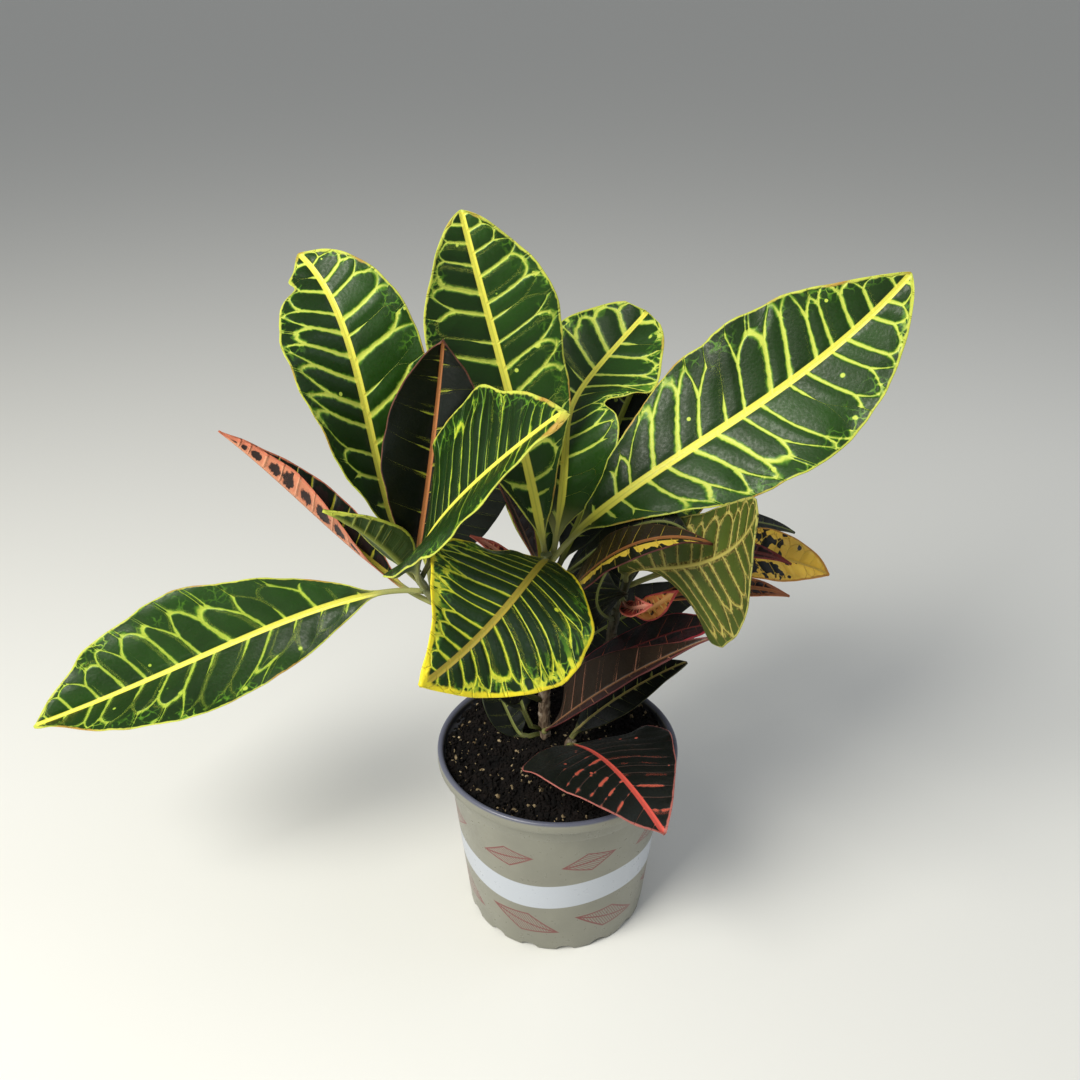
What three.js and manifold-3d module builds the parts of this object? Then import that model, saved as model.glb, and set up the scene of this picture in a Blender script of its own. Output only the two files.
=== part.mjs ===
// A croton in a thin plastic grow pot: four rooted cuttings and their leaves, at true size.
// Millimetres, +Z up. The origin is the middle of the pot's base, and +Y points to the back.

import * as THREE from 'three';
import { mergeVertices } from 'three/addons/utils/BufferGeometryUtils.js';
import Module from 'manifold-3d';

const wasm = await Module();
wasm.setup();

// Driving dimensions of the pot
const potHeight = 105;
const rimRadius = 65;
const rimDrop = 6.5;
const bodyTopRadius = 59.5;
const baseRadius = 50;
const wall = 1.3;
const potSides = 48;
const channelDepth = 2.5;
const channelInner = 22;
const channelOuter = 43;
const drainHoles = 8;
const drainRadius = 4;
const footNotches = 16;
const footNotchWidth = 9;
const footNotchHeight = 1.8;

// Driving dimensions of the soil and of the gaps between touching pieces
const gap = 0.3;
const soilTop = 97;
const soilDome = 1.2;
const stemDepth = 36;

// Driving dimensions that all leaves share
const bladeThickness = 0.8;
const stalkRadius = 1.5;
const stalkSteps = 4;
const ribBelow = 0.7;
const tipHalf = 0.5;
const footClear = 0.1;
const tipDensity = 0.14;

const group = new THREE.Group();

const look = {
  potPlastic: { color: 0x7f7f70, roughness: 0.45, metalness: 0 },
  soil: { color: 0x17110d, roughness: 1, metalness: 0 },
  bark: { color: 0x6b5b48, roughness: 0.85, metalness: 0 },
  green: { color: 0x2c5a1c, roughness: 0.35, metalness: 0 },
  black: { color: 0x141a14, roughness: 0.35, metalness: 0 },
  purple: { color: 0x35191f, roughness: 0.4, metalness: 0 },
  brown: { color: 0x3a2a18, roughness: 0.4, metalness: 0 },
  pink: { color: 0xb56a58, roughness: 0.4, metalness: 0 },
  olive: { color: 0x55602a, roughness: 0.5, metalness: 0 },
  yellow: { color: 0xc79a2b, roughness: 0.4, metalness: 0 },
  red: { color: 0x8c3026, roughness: 0.4, metalness: 0 },
};

function add(name, geometry, finish) {
  geometry.computeVertexNormals();
  const mesh = new THREE.Mesh(geometry, new THREE.MeshStandardMaterial(look[finish]));
  mesh.name = name;
  group.add(mesh);
}

// Joining and cutting

function solid(geometry) {
  const bare = new THREE.BufferGeometry();
  bare.setAttribute('position', geometry.getAttribute('position').clone());
  if (geometry.index) bare.setIndex(geometry.index.clone());
  const merged = mergeVertices(bare, 1e-4);
  return new wasm.Manifold(new wasm.Mesh({
    numProp: 3,
    vertProperties: new Float32Array(merged.getAttribute('position').array),
    triVerts: new Uint32Array(merged.index.array),
  }));
}

function cutFrom(body, tools) {
  let result = solid(body);
  for (const tool of tools) result = result.subtract(solid(tool));
  const mesh = result.getMesh();
  const geometry = new THREE.BufferGeometry();
  geometry.setAttribute('position', new THREE.BufferAttribute(mesh.vertProperties, 3));
  geometry.setIndex(new THREE.BufferAttribute(mesh.triVerts, 1));
  return geometry;
}

// A turned piece: the profile is [radius, height] pairs, and it closes on itself or on the axis
function turned(profile, sides) {
  const points = profile.map(([radius, height]) => new THREE.Vector2(radius, height));
  const geometry = new THREE.LatheGeometry(points, sides);
  geometry.rotateX(Math.PI / 2);
  return geometry;
}

function upright(radius, bottom, top, x, y, sides) {
  const geometry = new THREE.CylinderGeometry(radius, radius, top - bottom, sides);
  geometry.rotateX(Math.PI / 2);
  geometry.translate(x, y, (top + bottom) / 2);
  return geometry;
}

// The pot

const lipBottom = potHeight - rimDrop;

function wallRadius(height) {
  return baseRadius + (bodyTopRadius - baseRadius) * height / lipBottom;
}

function potProfile() {
  const floor = channelDepth + wall;
  const lipInner = bodyTopRadius + wall * 1.5;
  return [
    [0, 0],
    [channelInner - 2, 0],
    [channelInner, channelDepth],
    [channelOuter, channelDepth],
    [channelOuter + 1.5, 0],
    [baseRadius - 1, 0],
    [wallRadius(1.5), 1.5],
    [wallRadius(lipBottom * 0.5), lipBottom * 0.5],
    [bodyTopRadius, lipBottom],
    [bodyTopRadius + 0.3, potHeight - 3],
    [lipInner, potHeight - 2.2],
    [rimRadius - wall, potHeight - 3],
    [rimRadius - wall + 0.1, lipBottom],
    [rimRadius, lipBottom],
    [rimRadius, potHeight - 2],
    [rimRadius - 1.6, potHeight - 0.4],
    [rimRadius - 3.5, potHeight],
    [bodyTopRadius, potHeight - 0.5],
    [bodyTopRadius - wall, potHeight - 2],
    [bodyTopRadius - wall, lipBottom],
    [wallRadius(floor) - wall, floor],
    [0, floor],
  ];
}

function potGeometry() {
  const cuts = [];
  const channelMiddle = (channelInner + channelOuter) / 2;
  for (let i = 0; i < drainHoles; i += 1) {
    const angle = 2 * Math.PI * (i + 0.5) / drainHoles;
    const x = channelMiddle * Math.cos(angle);
    const y = channelMiddle * Math.sin(angle);
    cuts.push(upright(drainRadius, -1, channelDepth + wall + 1, x, y, 12));
  }
  for (let i = 0; i < footNotches; i += 1) {
    const notch = new THREE.BoxGeometry(12, footNotchWidth, 2 * footNotchHeight);
    notch.translate(baseRadius, 0, 0);
    notch.rotateZ(2 * Math.PI * (i + 0.25) / footNotches);
    cuts.push(notch);
  }
  return cutFrom(turned(potProfile(), potSides), cuts);
}

// The stems: each one stands upright in the soil and then follows a curve of its own

const stems = {
  centre: { foot: [-7, 12], rise: [-9, 13, 140], lean: [-3, 10, 175], top: [-6, 12, 214], radius: 3.2 },
  left: { foot: [-21, 38], rise: [-22, 44, 130], lean: [-62, 36, 150], top: [-79, 26, 201], radius: 2.8 },
  right: { foot: [27, 34], rise: [28, 42, 130], lean: [26, 32, 160], top: [40, 23, 206], radius: 2.8 },
  front: { foot: [5, 1], rise: [5, 1, 100], lean: [6, 0, 103], top: [7, 0, 106], radius: 2.2 },
};

const stemSides = 10;
const stemTaper = 0.78;

function stemCurve(stem) {
  const start = new THREE.Vector3(...stem.foot, soilTop + 1);
  const handles = [stem.rise, stem.lean, stem.top].map((p) => new THREE.Vector3(...p));
  return new THREE.CubicBezierCurve3(start, ...handles);
}

function stemRadius(stem, share) {
  return stem.radius * (1 - (1 - stemTaper) * share);
}

// The point of a stem's middle line at a given height above the table
function stemAt(stem, height) {
  const curve = stemCurve(stem);
  let low = 0;
  let high = 1;
  for (let i = 0; i < 30; i += 1) {
    const middle = (low + high) / 2;
    if (curve.getPoint(middle).z < height) low = middle;
    else high = middle;
  }
  return { point: curve.getPoint(low), along: curve.getTangent(low), radius: stemRadius(stem, low) };
}

// Rings of points joined into one closed skin, with both ends capped
function loft(rings, splitAlike) {
  const count = rings[0].length;
  const positions = rings.flat().flatMap((p) => [p.x, p.y, p.z]);
  const faces = [];
  for (let i = 0; i + 1 < rings.length; i += 1) {
    for (let k = 0; k < count; k += 1) {
      const next = (k + 1) % count;
      const a = i * count + k;
      const b = i * count + next;
      const c = (i + 1) * count + next;
      const d = (i + 1) * count + k;
      if (splitAlike && k >= count / 2) faces.push(a, b, d, b, c, d);
      else faces.push(a, b, c, a, c, d);
    }
  }
  for (const end of [0, rings.length - 1]) {
    const ring = rings[end];
    const middle = new THREE.Vector3();
    for (const p of ring) middle.addScaledVector(p, 1 / count);
    const centre = positions.length / 3;
    positions.push(middle.x, middle.y, middle.z);
    for (let k = 0; k < count; k += 1) {
      const a = end * count + k;
      const b = end * count + (k + 1) % count;
      if (end === 0) faces.push(centre, b, a);
      else faces.push(centre, a, b);
    }
  }
  const geometry = new THREE.BufferGeometry();
  geometry.setAttribute('position', new THREE.Float32BufferAttribute(positions, 3));
  geometry.setIndex(faces);
  return geometry;
}

function circle(centre, side, front, radius, sides) {
  const ring = [];
  for (let k = 0; k < sides; k += 1) {
    const angle = 2 * Math.PI * k / sides;
    ring.push(centre.clone()
      .addScaledVector(side, radius * Math.cos(angle))
      .addScaledVector(front, radius * Math.sin(angle)));
  }
  return ring;
}

function stemGeometry(stem) {
  const rings = [];
  const side = new THREE.Vector3(1, 0, 0);
  const front = new THREE.Vector3(0, 1, 0);
  const bottom = new THREE.Vector3(...stem.foot, soilTop - stemDepth);
  rings.push(circle(bottom, side, front, stem.radius, stemSides));
  const curve = stemCurve(stem);
  const steps = Math.max(2, Math.round(curve.getLength() / 12));
  for (let i = 0; i <= steps; i += 1) {
    const share = i / steps;
    const along = curve.getTangent(share);
    const across = new THREE.Vector3().crossVectors(new THREE.Vector3(0, 1, 0), along).normalize();
    const behind = new THREE.Vector3().crossVectors(along, across);
    rings.push(circle(curve.getPoint(share), across, behind, stemRadius(stem, share), stemSides));
  }
  return loft(rings, false);
}

// The soil fills the pot and has a plain hole for each stem

function soilGeometry() {
  const floor = channelDepth + wall + gap;
  const clear = wall + gap;
  const body = turned([
    [0, floor],
    [wallRadius(floor) - clear, floor],
    [wallRadius(soilTop) - clear, soilTop],
    [wallRadius(soilTop) * 0.6, soilTop + soilDome * 0.7],
    [0, soilTop + soilDome],
  ], potSides);
  const holes = Object.values(stems).map((stem) => upright(
    stem.radius + gap + 0.1, soilTop - stemDepth - gap, soilTop + 5, ...stem.foot, 16));
  return cutFrom(body, holes);
}

// The leaves. A row says which stem carries the leaf and how high, the two bends and the tip of its
// midrib, how much of that line is bare stalk, the half width, where the blade is widest and how full
// its foot and tip are, which way the upper face looks at the foot and at the tip, and the fold angles.
// A waist narrows the blade at one place. halves makes one side wider than the other. steady keeps the
// rings of a strongly bent leaf from crossing.

const leaves = [
  { name: 'leaf_upper_left', stem: 'left', at: 193, stalk: 0.12,
    line: [[-99, 25, 242], [-90, 37, 327], [-131, 74, 349]],
    half: 35, widest: 0.61, full: [1.06, 0.8],
    face: [[0.78, -0.5, 0.37], [0.21, -0.91, 0.35]],
    fold: [14, 14], steps: 12, look: 'green' },
  { name: 'leaf_top_centre', stem: 'centre', at: 208, stalk: 0.05,
    line: [[-15, 28, 260], [-33, 25, 326], [-46, 34, 379]],
    half: 33, widest: 0.65, full: [1.25, 0.7],
    face: [[0.15, -0.93, 0.33], [0.16, -0.76, 0.63]],
    fold: [9, 12], steps: 12, look: 'green' },
  { name: 'leaf_waisted', stem: 'centre', at: 207, stalk: 0.05,
    line: [[13, 37, 296], [-15, 51, 260], [45, 92, 315]],
    half: 40, widest: 0.7, full: [0.6, 0.4], waist: [0.56, 0.5, 0.13],
    face: [[-0.26, -0.96, 0.1], [-0.65, -0.74, 0.19]],
    fold: [9, 11], steps: 15, look: 'green' },
  { name: 'leaf_big_right', stem: 'centre', at: 210, stalk: 0.1,
    line: [[24, -6, 267], [111, 22, 289], [155, 18, 356]],
    half: 40, widest: 0.6, full: [1.2, 0.76],
    face: [[-0.25, -0.57, 0.79], [0.06, -0.86, 0.5]],
    fold: [10, 8], steps: 12, look: 'green' },
  { name: 'leaf_front', stem: 'centre', at: 210, stalk: 0.07,
    line: [[-7, -29, 241], [-21, -70, 226], [-55, -114, 224]],
    half: 41, widest: 0.55, full: [1.2, 1],
    face: [[0.08, -0.35, 0.93], [0.19, -0.95, 0.27]],
    fold: [2, 2], steps: 12, look: 'green' },
  { name: 'leaf_long_left', stem: 'left', at: 181, stalk: 0.14,
    line: [[-117, 26, 190], [-200, 10, 140], [-271, -24, 129]],
    half: 38, widest: 0.62, full: [1.2, 0.83],
    face: [[0.22, -0.88, 0.42], [-0.11, -0.5, 0.86]],
    fold: [20, 33], steps: 12, look: 'green' },
  { name: 'leaf_folded_pink', stem: 'left', at: 171, stalk: 0.16,
    line: [[-102, 42, 180], [-138, 44, 234], [-173, 40, 268]],
    half: 16, widest: 0.5, full: [1.1, 1],
    face: [[0, -0.3, 0.95], [0, 0.3, 0.95]],
    fold: [45, 60], steps: 10, look: 'pink' },
  { name: 'leaf_small_curled', stem: 'left', at: 190, stalk: 0.12,
    line: [[-85, 11, 212], [-87, -3, 231], [-112, -11, 249]],
    half: 11, widest: 0.42, full: [0.8, 1], halves: [1.3, 0.8],
    face: [[0, 0.8, 0.5], [0, 0.8, 0.5]],
    fold: [25, 35], steps: 9, look: 'olive' },
  { name: 'leaf_raised_front', stem: 'left', at: 184, stalk: 0.12,
    line: [[-80, -24, 233], [-36, -22, 275], [2, -77, 327]],
    half: 43, widest: 0.6, full: [0.95, 1.05],
    face: [[-0.2, -0.25, 0.95], [-0.39, -0.52, 0.76]],
    fold: [15, 21], steps: 12, look: 'green' },
  { name: 'leaf_black_orange', stem: 'left', at: 197, stalk: 0.09,
    line: [[-68, 12, 228], [-58, 20, 295], [-52, -4, 331]],
    half: 25, widest: 0.51, full: [1.02, 0.73],
    face: [[0.32, -0.88, 0.35], [0.09, -0.82, 0.56]],
    fold: [16, 16], steps: 11, look: 'black' },
  { name: 'leaf_dark_behind', stem: 'left', at: 188, stalk: 0.12,
    line: [[-66, 44, 200], [-45, 52, 225], [-24, 50, 262]],
    half: 17, widest: 0.55, full: [1, 0.8],
    face: [[0.3, -0.8, 0.5], [0.3, -0.8, 0.5]],
    fold: [8, 8], steps: 8, look: 'black' },
  { name: 'leaf_thin_brown', stem: 'centre', at: 200, stalk: 0.12,
    line: [[-18, 20, 215], [-22, 30, 232], [-38, 44, 250]],
    half: 10, widest: 0.5, full: [1, 0.9],
    face: [[0.9, -0.3, 0.2], [0.9, -0.3, 0.2]],
    fold: [15, 15], steps: 7, look: 'brown' },
  { name: 'leaf_arched_brown', stem: 'centre', at: 182, stalk: 0.14,
    line: [[10, -22, 217], [28, -36, 261], [70, -30, 244]],
    half: 17, widest: 0.42, full: [0.8, 0.9], halves: [0.9, 0.79],
    face: [[-0.17, -0.36, 0.92], [0, -0.12, 0.99]],
    fold: [7, 1], steps: 10, look: 'brown' },
  { name: 'leaf_olive_under', stem: 'right', at: 192, stalk: 0.08,
    line: [[29, -2, 224], [80, -22, 213], [84, -52, 270]],
    half: 23.5, widest: 0.6, full: [0.94, 0.3], halves: [1.68, 1], steady: 0.55,
    face: [[-0.48, 0.87, -0.06], [0.19, 0.56, -0.81]],
    fold: [0, 0], steps: 14, look: 'olive' },
  { name: 'leaf_yellow_spotted', stem: 'right', at: 187, stalk: 0.1,
    line: [[80, 34, 205], [115, 42, 202], [144, 37, 189]],
    half: 16, widest: 0.62, full: [1.15, 0.86],
    face: [[0, -0.5, 0.87], [0, -0.55, 0.83]],
    fold: [14, 14], steps: 9, look: 'yellow' },
  { name: 'leaf_far_green', stem: 'right', at: 199, stalk: 0.1,
    line: [[66, 52, 216], [100, 58, 215], [129, 62, 201]],
    half: 8, widest: 0.6, full: [1, 0.9],
    face: [[0, -0.2, 1], [0, -0.2, 1]],
    fold: [12, 12], steps: 7, look: 'green' },
  { name: 'leaf_red_spike', stem: 'right', at: 203, stalk: 0.1,
    line: [[70, 26, 210], [95, 22, 216], [119, 20, 205]],
    half: 7, widest: 0.5, full: [1, 1],
    face: [[0.2, -0.3, 0.9], [0.2, -0.3, 0.9]],
    fold: [20, 20], steps: 7, look: 'purple' },
  { name: 'leaf_orange_end', stem: 'right', at: 172, stalk: 0.1,
    line: [[70, 40, 176], [100, 44, 182], [126, 44, 171]],
    half: 9, widest: 0.55, full: [1, 1],
    face: [[0, -0.2, 1], [0, -0.2, 1]],
    fold: [10, 10], steps: 7, look: 'black' },
  { name: 'leaf_purple_upper', stem: 'centre', at: 138, stalk: 0.1,
    line: [[32, 20, 145], [57, 8, 174], [80, 4, 178]],
    half: 16, widest: 0.52, full: [0.8, 0.68],
    face: [[0, -0.1, 1], [0, -0.1, 1]],
    fold: [6, 4], steps: 10, look: 'purple' },
  { name: 'leaf_purple_lower', stem: 'centre', at: 104, stalk: 0.13,
    line: [[-8, -30, 130], [17, -13, 153], [77, -19, 186]],
    half: 15, widest: 0.42, full: [0.85, 1.05], halves: [1.5, 0.42],
    face: [[-0.1, -0.2, 0.97], [-0.07, -0.14, 0.99]],
    fold: [9, 7], steps: 10, look: 'purple' },
  { name: 'leaf_dark_rib', stem: 'front', at: 104, stalk: 0.1,
    line: [[12, 6, 114], [44, 13, 136], [69, 15, 147]],
    half: 18, widest: 0.51, full: [1.1, 0.8],
    face: [[0, 0, 1], [0, -0.07, 1]],
    fold: [10, 10], steps: 10, look: 'black' },
  { name: 'leaf_black_coral', stem: 'front', at: 103, stalk: 0.09,
    line: [[13, -18, 116], [26, -42, 134], [51, -80, 114]],
    half: 41, widest: 0.42, full: [1.14, 0.85],
    face: [[0.1, -0.23, 0.97], [0.42, -0.53, 0.74]],
    fold: [5, 5], steps: 12, look: 'black' },
  { name: 'leaf_dark_at_soil', stem: 'centre', at: 100.5, stalk: 0.3,
    line: [[-26, 6, 97.6], [-20, 10, 104], [-44, 30, 140]],
    half: 11, widest: 0.6, full: [1, 0.9],
    face: [[0.1, -0.8, 0.6], [0.1, -0.8, 0.6]],
    fold: [10, 10], steps: 7, look: 'black' },
  { name: 'leaf_young_orange', stem: 'right', at: 176, stalk: 0.1,
    line: [[46, 14, 174], [50, 14, 184], [61, 8, 196]],
    half: 7, widest: 0.5, full: [1, 1],
    face: [[-0.3, -0.8, 0.5], [-0.3, -0.8, 0.5]],
    fold: [15, 15], steps: 6, look: 'yellow' },
  { name: 'leaf_young_red', stem: 'right', at: 180, stalk: 0.1,
    line: [[35, 4, 184], [38, -6, 194], [46, -11, 199]],
    half: 6, widest: 0.5, full: [1, 1],
    face: [[0, -0.7, 0.7], [0, -0.7, 0.7]],
    fold: [20, 20], steps: 6, look: 'red' },
  { name: 'leaf_dark_between', stem: 'centre', at: 198, stalk: 0.1,
    line: [[12, 34, 222], [24, 66, 250], [44, 80, 292]],
    half: 24, widest: 0.6, full: [1, 0.8],
    face: [[0, -0.9, 0.4], [0, -0.9, 0.4]],
    fold: [8, 8], steps: 9, look: 'black' },
  { name: 'leaf_young_crimson', stem: 'centre', at: 190, stalk: 0.1,
    line: [[-20, 16, 204], [-32, 22, 212], [-46, 24, 218]],
    half: 4, widest: 0.5, full: [1, 1],
    face: [[0.3, -0.6, 0.7], [0.3, -0.6, 0.7]],
    fold: [20, 20], steps: 6, look: 'red' },
  { name: 'leaf_low_left', stem: 'centre', at: 104.5, stalk: 0.5,
    line: [[-18, 4, 106], [-17, 8, 122], [-32, 26, 152]],
    half: 12, widest: 0.5, full: [1, 0.9],
    face: [[0.2, -0.8, 0.5], [0.1, -0.6, 0.8]],
    fold: [8, 8], steps: 7, look: 'black' },
  { name: 'leaf_low_front', stem: 'centre', at: 124, stalk: 0.3,
    line: [[-18, 2, 134], [-26, -4, 146], [-40, -12, 160]],
    half: 12, widest: 0.5, full: [1, 0.9],
    face: [[0.2, -0.6, 0.8], [0.1, -0.5, 0.85]],
    fold: [8, 8], steps: 7, look: 'black' },
  { name: 'leaf_inner_front', stem: 'right', at: 164, stalk: 0.1,
    line: [[20, 18, 174], [15, 8, 190], [24, 2, 211]],
    half: 17, widest: 0.5, full: [1, 0.9],
    face: [[0.2, -0.9, 0.4], [0.2, -0.9, 0.4]],
    fold: [8, 8], steps: 8, look: 'black' },
  { name: 'leaf_inner_low', stem: 'centre', at: 128, stalk: 0.12,
    line: [[2, 46, 136], [30, 63, 146], [90, 55, 174]],
    half: 19, widest: 0.5, full: [1, 0.9],
    face: [[0, -1, 0.25], [0, -1, 0.25]],
    fold: [8, 8], steps: 8, look: 'black' },
  { name: 'leaf_dark_over', stem: 'centre', at: 196, stalk: 0.12,
    line: [[18, -4, 226], [42, -10, 257], [60, -14, 241]],
    half: 10, widest: 0.6, full: [1, 0.9],
    face: [[-0.1, -0.5, 0.85], [-0.1, -0.5, 0.85]],
    fold: [8, 8], steps: 9, look: 'black' },
  { name: 'leaf_back_centre', stem: 'centre', at: 190, stalk: 0.1,
    line: [[-14, 40, 214], [-12, 70, 234], [-14, 96, 246]],
    half: 20, widest: 0.6, full: [1.1, 0.8],
    face: [[0, -0.6, 0.8], [0, -0.6, 0.8]],
    fold: [10, 10], steps: 10, look: 'green' },
  { name: 'leaf_back_right', stem: 'right', at: 180, stalk: 0.1,
    line: [[36, 60, 202], [64, 86, 222], [90, 98, 224]],
    half: 24, widest: 0.6, full: [1.1, 0.8],
    face: [[-0.2, -0.5, 0.85], [-0.1, -0.3, 0.95]],
    fold: [10, 10], steps: 10, look: 'green' },
  { name: 'leaf_back_left', stem: 'left', at: 176, stalk: 0.12,
    line: [[-76, 54, 206], [-74, 78, 234], [-66, 90, 250]],
    half: 22, widest: 0.6, full: [1.1, 0.8],
    face: [[0, -0.6, 0.8], [0, -0.5, 0.85]],
    fold: [10, 10], steps: 10, look: 'green' },
  { name: 'leaf_back_low_left', stem: 'left', at: 140, stalk: 0.14,
    line: [[-48, 66, 150], [-44, 84, 152], [-34, 100, 138]],
    half: 20, widest: 0.55, full: [1.1, 0.9],
    face: [[0, -0.2, 1], [0, 0.2, 1]],
    fold: [10, 10], steps: 9, look: 'black' },
  { name: 'leaf_back_low_right', stem: 'right', at: 115, stalk: 0.12,
    line: [[47, 64, 119], [64, 86, 124], [78, 100, 112]],
    half: 21, widest: 0.55, full: [1.1, 0.9],
    face: [[-0.1, -0.3, 0.95], [0, 0.1, 1]],
    fold: [10, 10], steps: 9, look: 'purple' },
  { name: 'leaf_back_middle', stem: 'centre', at: 165, stalk: 0.12,
    line: [[6, 44, 176], [26, 62, 190], [56, 74, 184]],
    half: 17, widest: 0.6, full: [1.1, 0.9],
    face: [[-0.1, -0.9, 0.4], [-0.1, -0.9, 0.4]],
    fold: [10, 10], steps: 9, look: 'black' },
];

// Where a stalk meets its stem: on the side that faces the leaf's first bend
function footOnStem(row) {
  const stem = stemAt(stems[row.stem], row.at);
  const bend = new THREE.Vector3(...row.line[0]);
  const toBend = bend.clone().sub(stem.point);
  const lengthwise = toBend.dot(stem.along);
  const outward = toBend.clone().addScaledVector(stem.along, -lengthwise).normalize();
  const skin = stem.point.clone().addScaledVector(outward, stem.radius);
  const slant = Math.abs(lengthwise) / bend.distanceTo(skin);
  const reach = stem.radius + gap + footClear + stalkRadius * slant;
  return stem.point.clone().addScaledVector(outward, reach);
}

function halfWidth(row, share) {
  const beforeWidest = share < row.widest;
  const climb = beforeWidest ? share / row.widest : (1 - share) / (1 - row.widest);
  const fullness = beforeWidest ? row.full[0] : row.full[1];
  let width = Math.sin(Math.PI / 2 * Math.max(0, climb)) ** fullness;
  if (row.waist) {
    const [place, depth, reach] = row.waist;
    width *= 1 - depth * Math.exp(-(((share - place) / reach) ** 2));
  }
  return row.half * width;
}

// Points across the blade: margin, middle of the half, midrib, middle of the half, margin
const across = [-1, -0.5, 0, 0.5, 1];

function leafRing(row, midrib, place, share) {
  const centre = midrib.getPoint(place);
  const chord = midrib.v3.clone().sub(midrib.v0).normalize();
  const along = midrib.getTangent(place).lerp(chord, row.steady ?? 0).normalize();
  const faceFoot = new THREE.Vector3(...row.face[0]);
  const faceTip = new THREE.Vector3(...row.face[1]);
  const face = faceFoot.lerp(faceTip, share);
  const normal = face.addScaledVector(along, -face.dot(along)).normalize();
  const side = new THREE.Vector3().crossVectors(along, normal);
  const width = Math.hypot(halfWidth(row, share), tipHalf + stalkRadius * (1 - share) ** 4);
  const halves = row.halves ?? [1, 1];
  const fold = THREE.MathUtils.degToRad(THREE.MathUtils.lerp(row.fold[0], row.fold[1], share));
  const round = Math.max(0, 1 - share / 0.1);
  const rib = ribBelow * (1 - 0.8 * share);
  const ring = [];
  for (let k = 0; k < 2 * across.length; k += 1) {
    const onTop = k < across.length;
    const s = onTop ? across[k] : -across[k - across.length];
    const angle = Math.PI - (k + 0.5) * Math.PI / across.length;
    const skin = (onTop ? 0.5 : -0.5) * bladeThickness - (!onTop && s === 0 ? rib : 0);
    const reach = width * (s < 0 ? halves[0] : halves[1]);
    const flatSide = reach * s * Math.cos(fold);
    const flatUp = skin + reach * Math.abs(s) * Math.sin(fold);
    const sideways = THREE.MathUtils.lerp(flatSide, stalkRadius * Math.cos(angle), round);
    const upward = THREE.MathUtils.lerp(flatUp, stalkRadius * Math.sin(angle), round);
    ring.push(centre.clone().addScaledVector(side, sideways).addScaledVector(normal, upward));
  }
  return ring;
}

function leafGeometry(row) {
  const handles = row.line.map((p) => new THREE.Vector3(...p));
  const midrib = new THREE.CubicBezierCurve3(footOnStem(row), ...handles);
  const rings = [];
  for (let i = 0; i < stalkSteps; i += 1) {
    rings.push(leafRing(row, midrib, row.stalk * i / stalkSteps, 0));
  }
  for (let i = 0; i <= row.steps; i += 1) {
    const share = i / row.steps + tipDensity * Math.sin(Math.PI * i / row.steps);
    rings.push(leafRing(row, midrib, row.stalk + (1 - row.stalk) * share, share));
  }
  return loft(rings, true);
}

add('pot', potGeometry(), 'potPlastic');
add('soil', soilGeometry(), 'soil');
for (const [name, stem] of Object.entries(stems)) add(`stem_${name}`, stemGeometry(stem), 'bark');
for (const row of leaves) add(row.name, leafGeometry(row), row.look);

export default group;
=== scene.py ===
# %% [markdown]
# # A croton in its grow pot
# A croton is sold as rooted cuttings in a thin plastic pot. What makes it a croton is paint on the leaf:
# a golden rib, side veins that fork before the margin, a golden edge, and young leaves in black, purple
# and coral. So most of this lesson goes into one leaf shape and one vein pattern, and each leaf then
# sets their numbers.

# %% The frame that the solid model gives
import math
from functools import partial

import bmesh
import bpy
import numpy as np
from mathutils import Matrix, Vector


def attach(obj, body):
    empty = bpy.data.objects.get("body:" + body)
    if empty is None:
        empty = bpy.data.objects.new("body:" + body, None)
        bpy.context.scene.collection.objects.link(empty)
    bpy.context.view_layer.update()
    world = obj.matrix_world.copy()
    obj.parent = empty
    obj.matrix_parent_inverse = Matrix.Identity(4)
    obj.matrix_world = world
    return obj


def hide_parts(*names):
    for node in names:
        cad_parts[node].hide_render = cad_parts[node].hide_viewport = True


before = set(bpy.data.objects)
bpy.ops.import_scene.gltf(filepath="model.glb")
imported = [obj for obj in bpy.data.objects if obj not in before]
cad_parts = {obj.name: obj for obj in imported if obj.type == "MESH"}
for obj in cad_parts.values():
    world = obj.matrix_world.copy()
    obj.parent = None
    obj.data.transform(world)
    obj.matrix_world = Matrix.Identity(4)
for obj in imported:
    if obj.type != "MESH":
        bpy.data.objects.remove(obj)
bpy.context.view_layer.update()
MM = 0.001

# %% [markdown]
# ## A few small tools
# Colours are written as the hex values that a painter would pick from the screen, and one function turns
# them to the linear light that shaders add up. Another adds a node, so that a tree reads as a list of
# steps, and each cell that builds a tree first ties it to that tree, under the short name add. The others
# start an object, a material or a node tree, and the last one runs a Geometry Nodes tree once and keeps
# its result as a plain mesh.

# %% Colours and nodes
VECTOR = "ShaderNodeVectorMath"
MIX = "ShaderNodeMix"
RANGE = "ShaderNodeMapRange"
NOISE = "ShaderNodeTexNoise"
COMBINE = "ShaderNodeCombineXYZ"
SEPARATE = "ShaderNodeSeparateXYZ"
COLOUR = {"data_type": "RGBA"}                      # makes a Mix node mix colours
SMOOTH = {"interpolation_type": "SMOOTHSTEP"}       # makes a Map Range node ease in and out
NOISE_LOW, NOISE_HIGH = 0.3, 0.7                    # nearly all of a noise texture lies between these


def tint(code):
    """An sRGB hex colour, as the linear colour with alpha that a socket takes."""
    parts = [int(code[i:i + 2], 16) / 255 for i in (0, 2, 4)]
    return [p / 12.92 if p <= 0.04045 else ((p + 0.055) / 1.055) ** 2.4 for p in parts] + [1.0]


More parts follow.
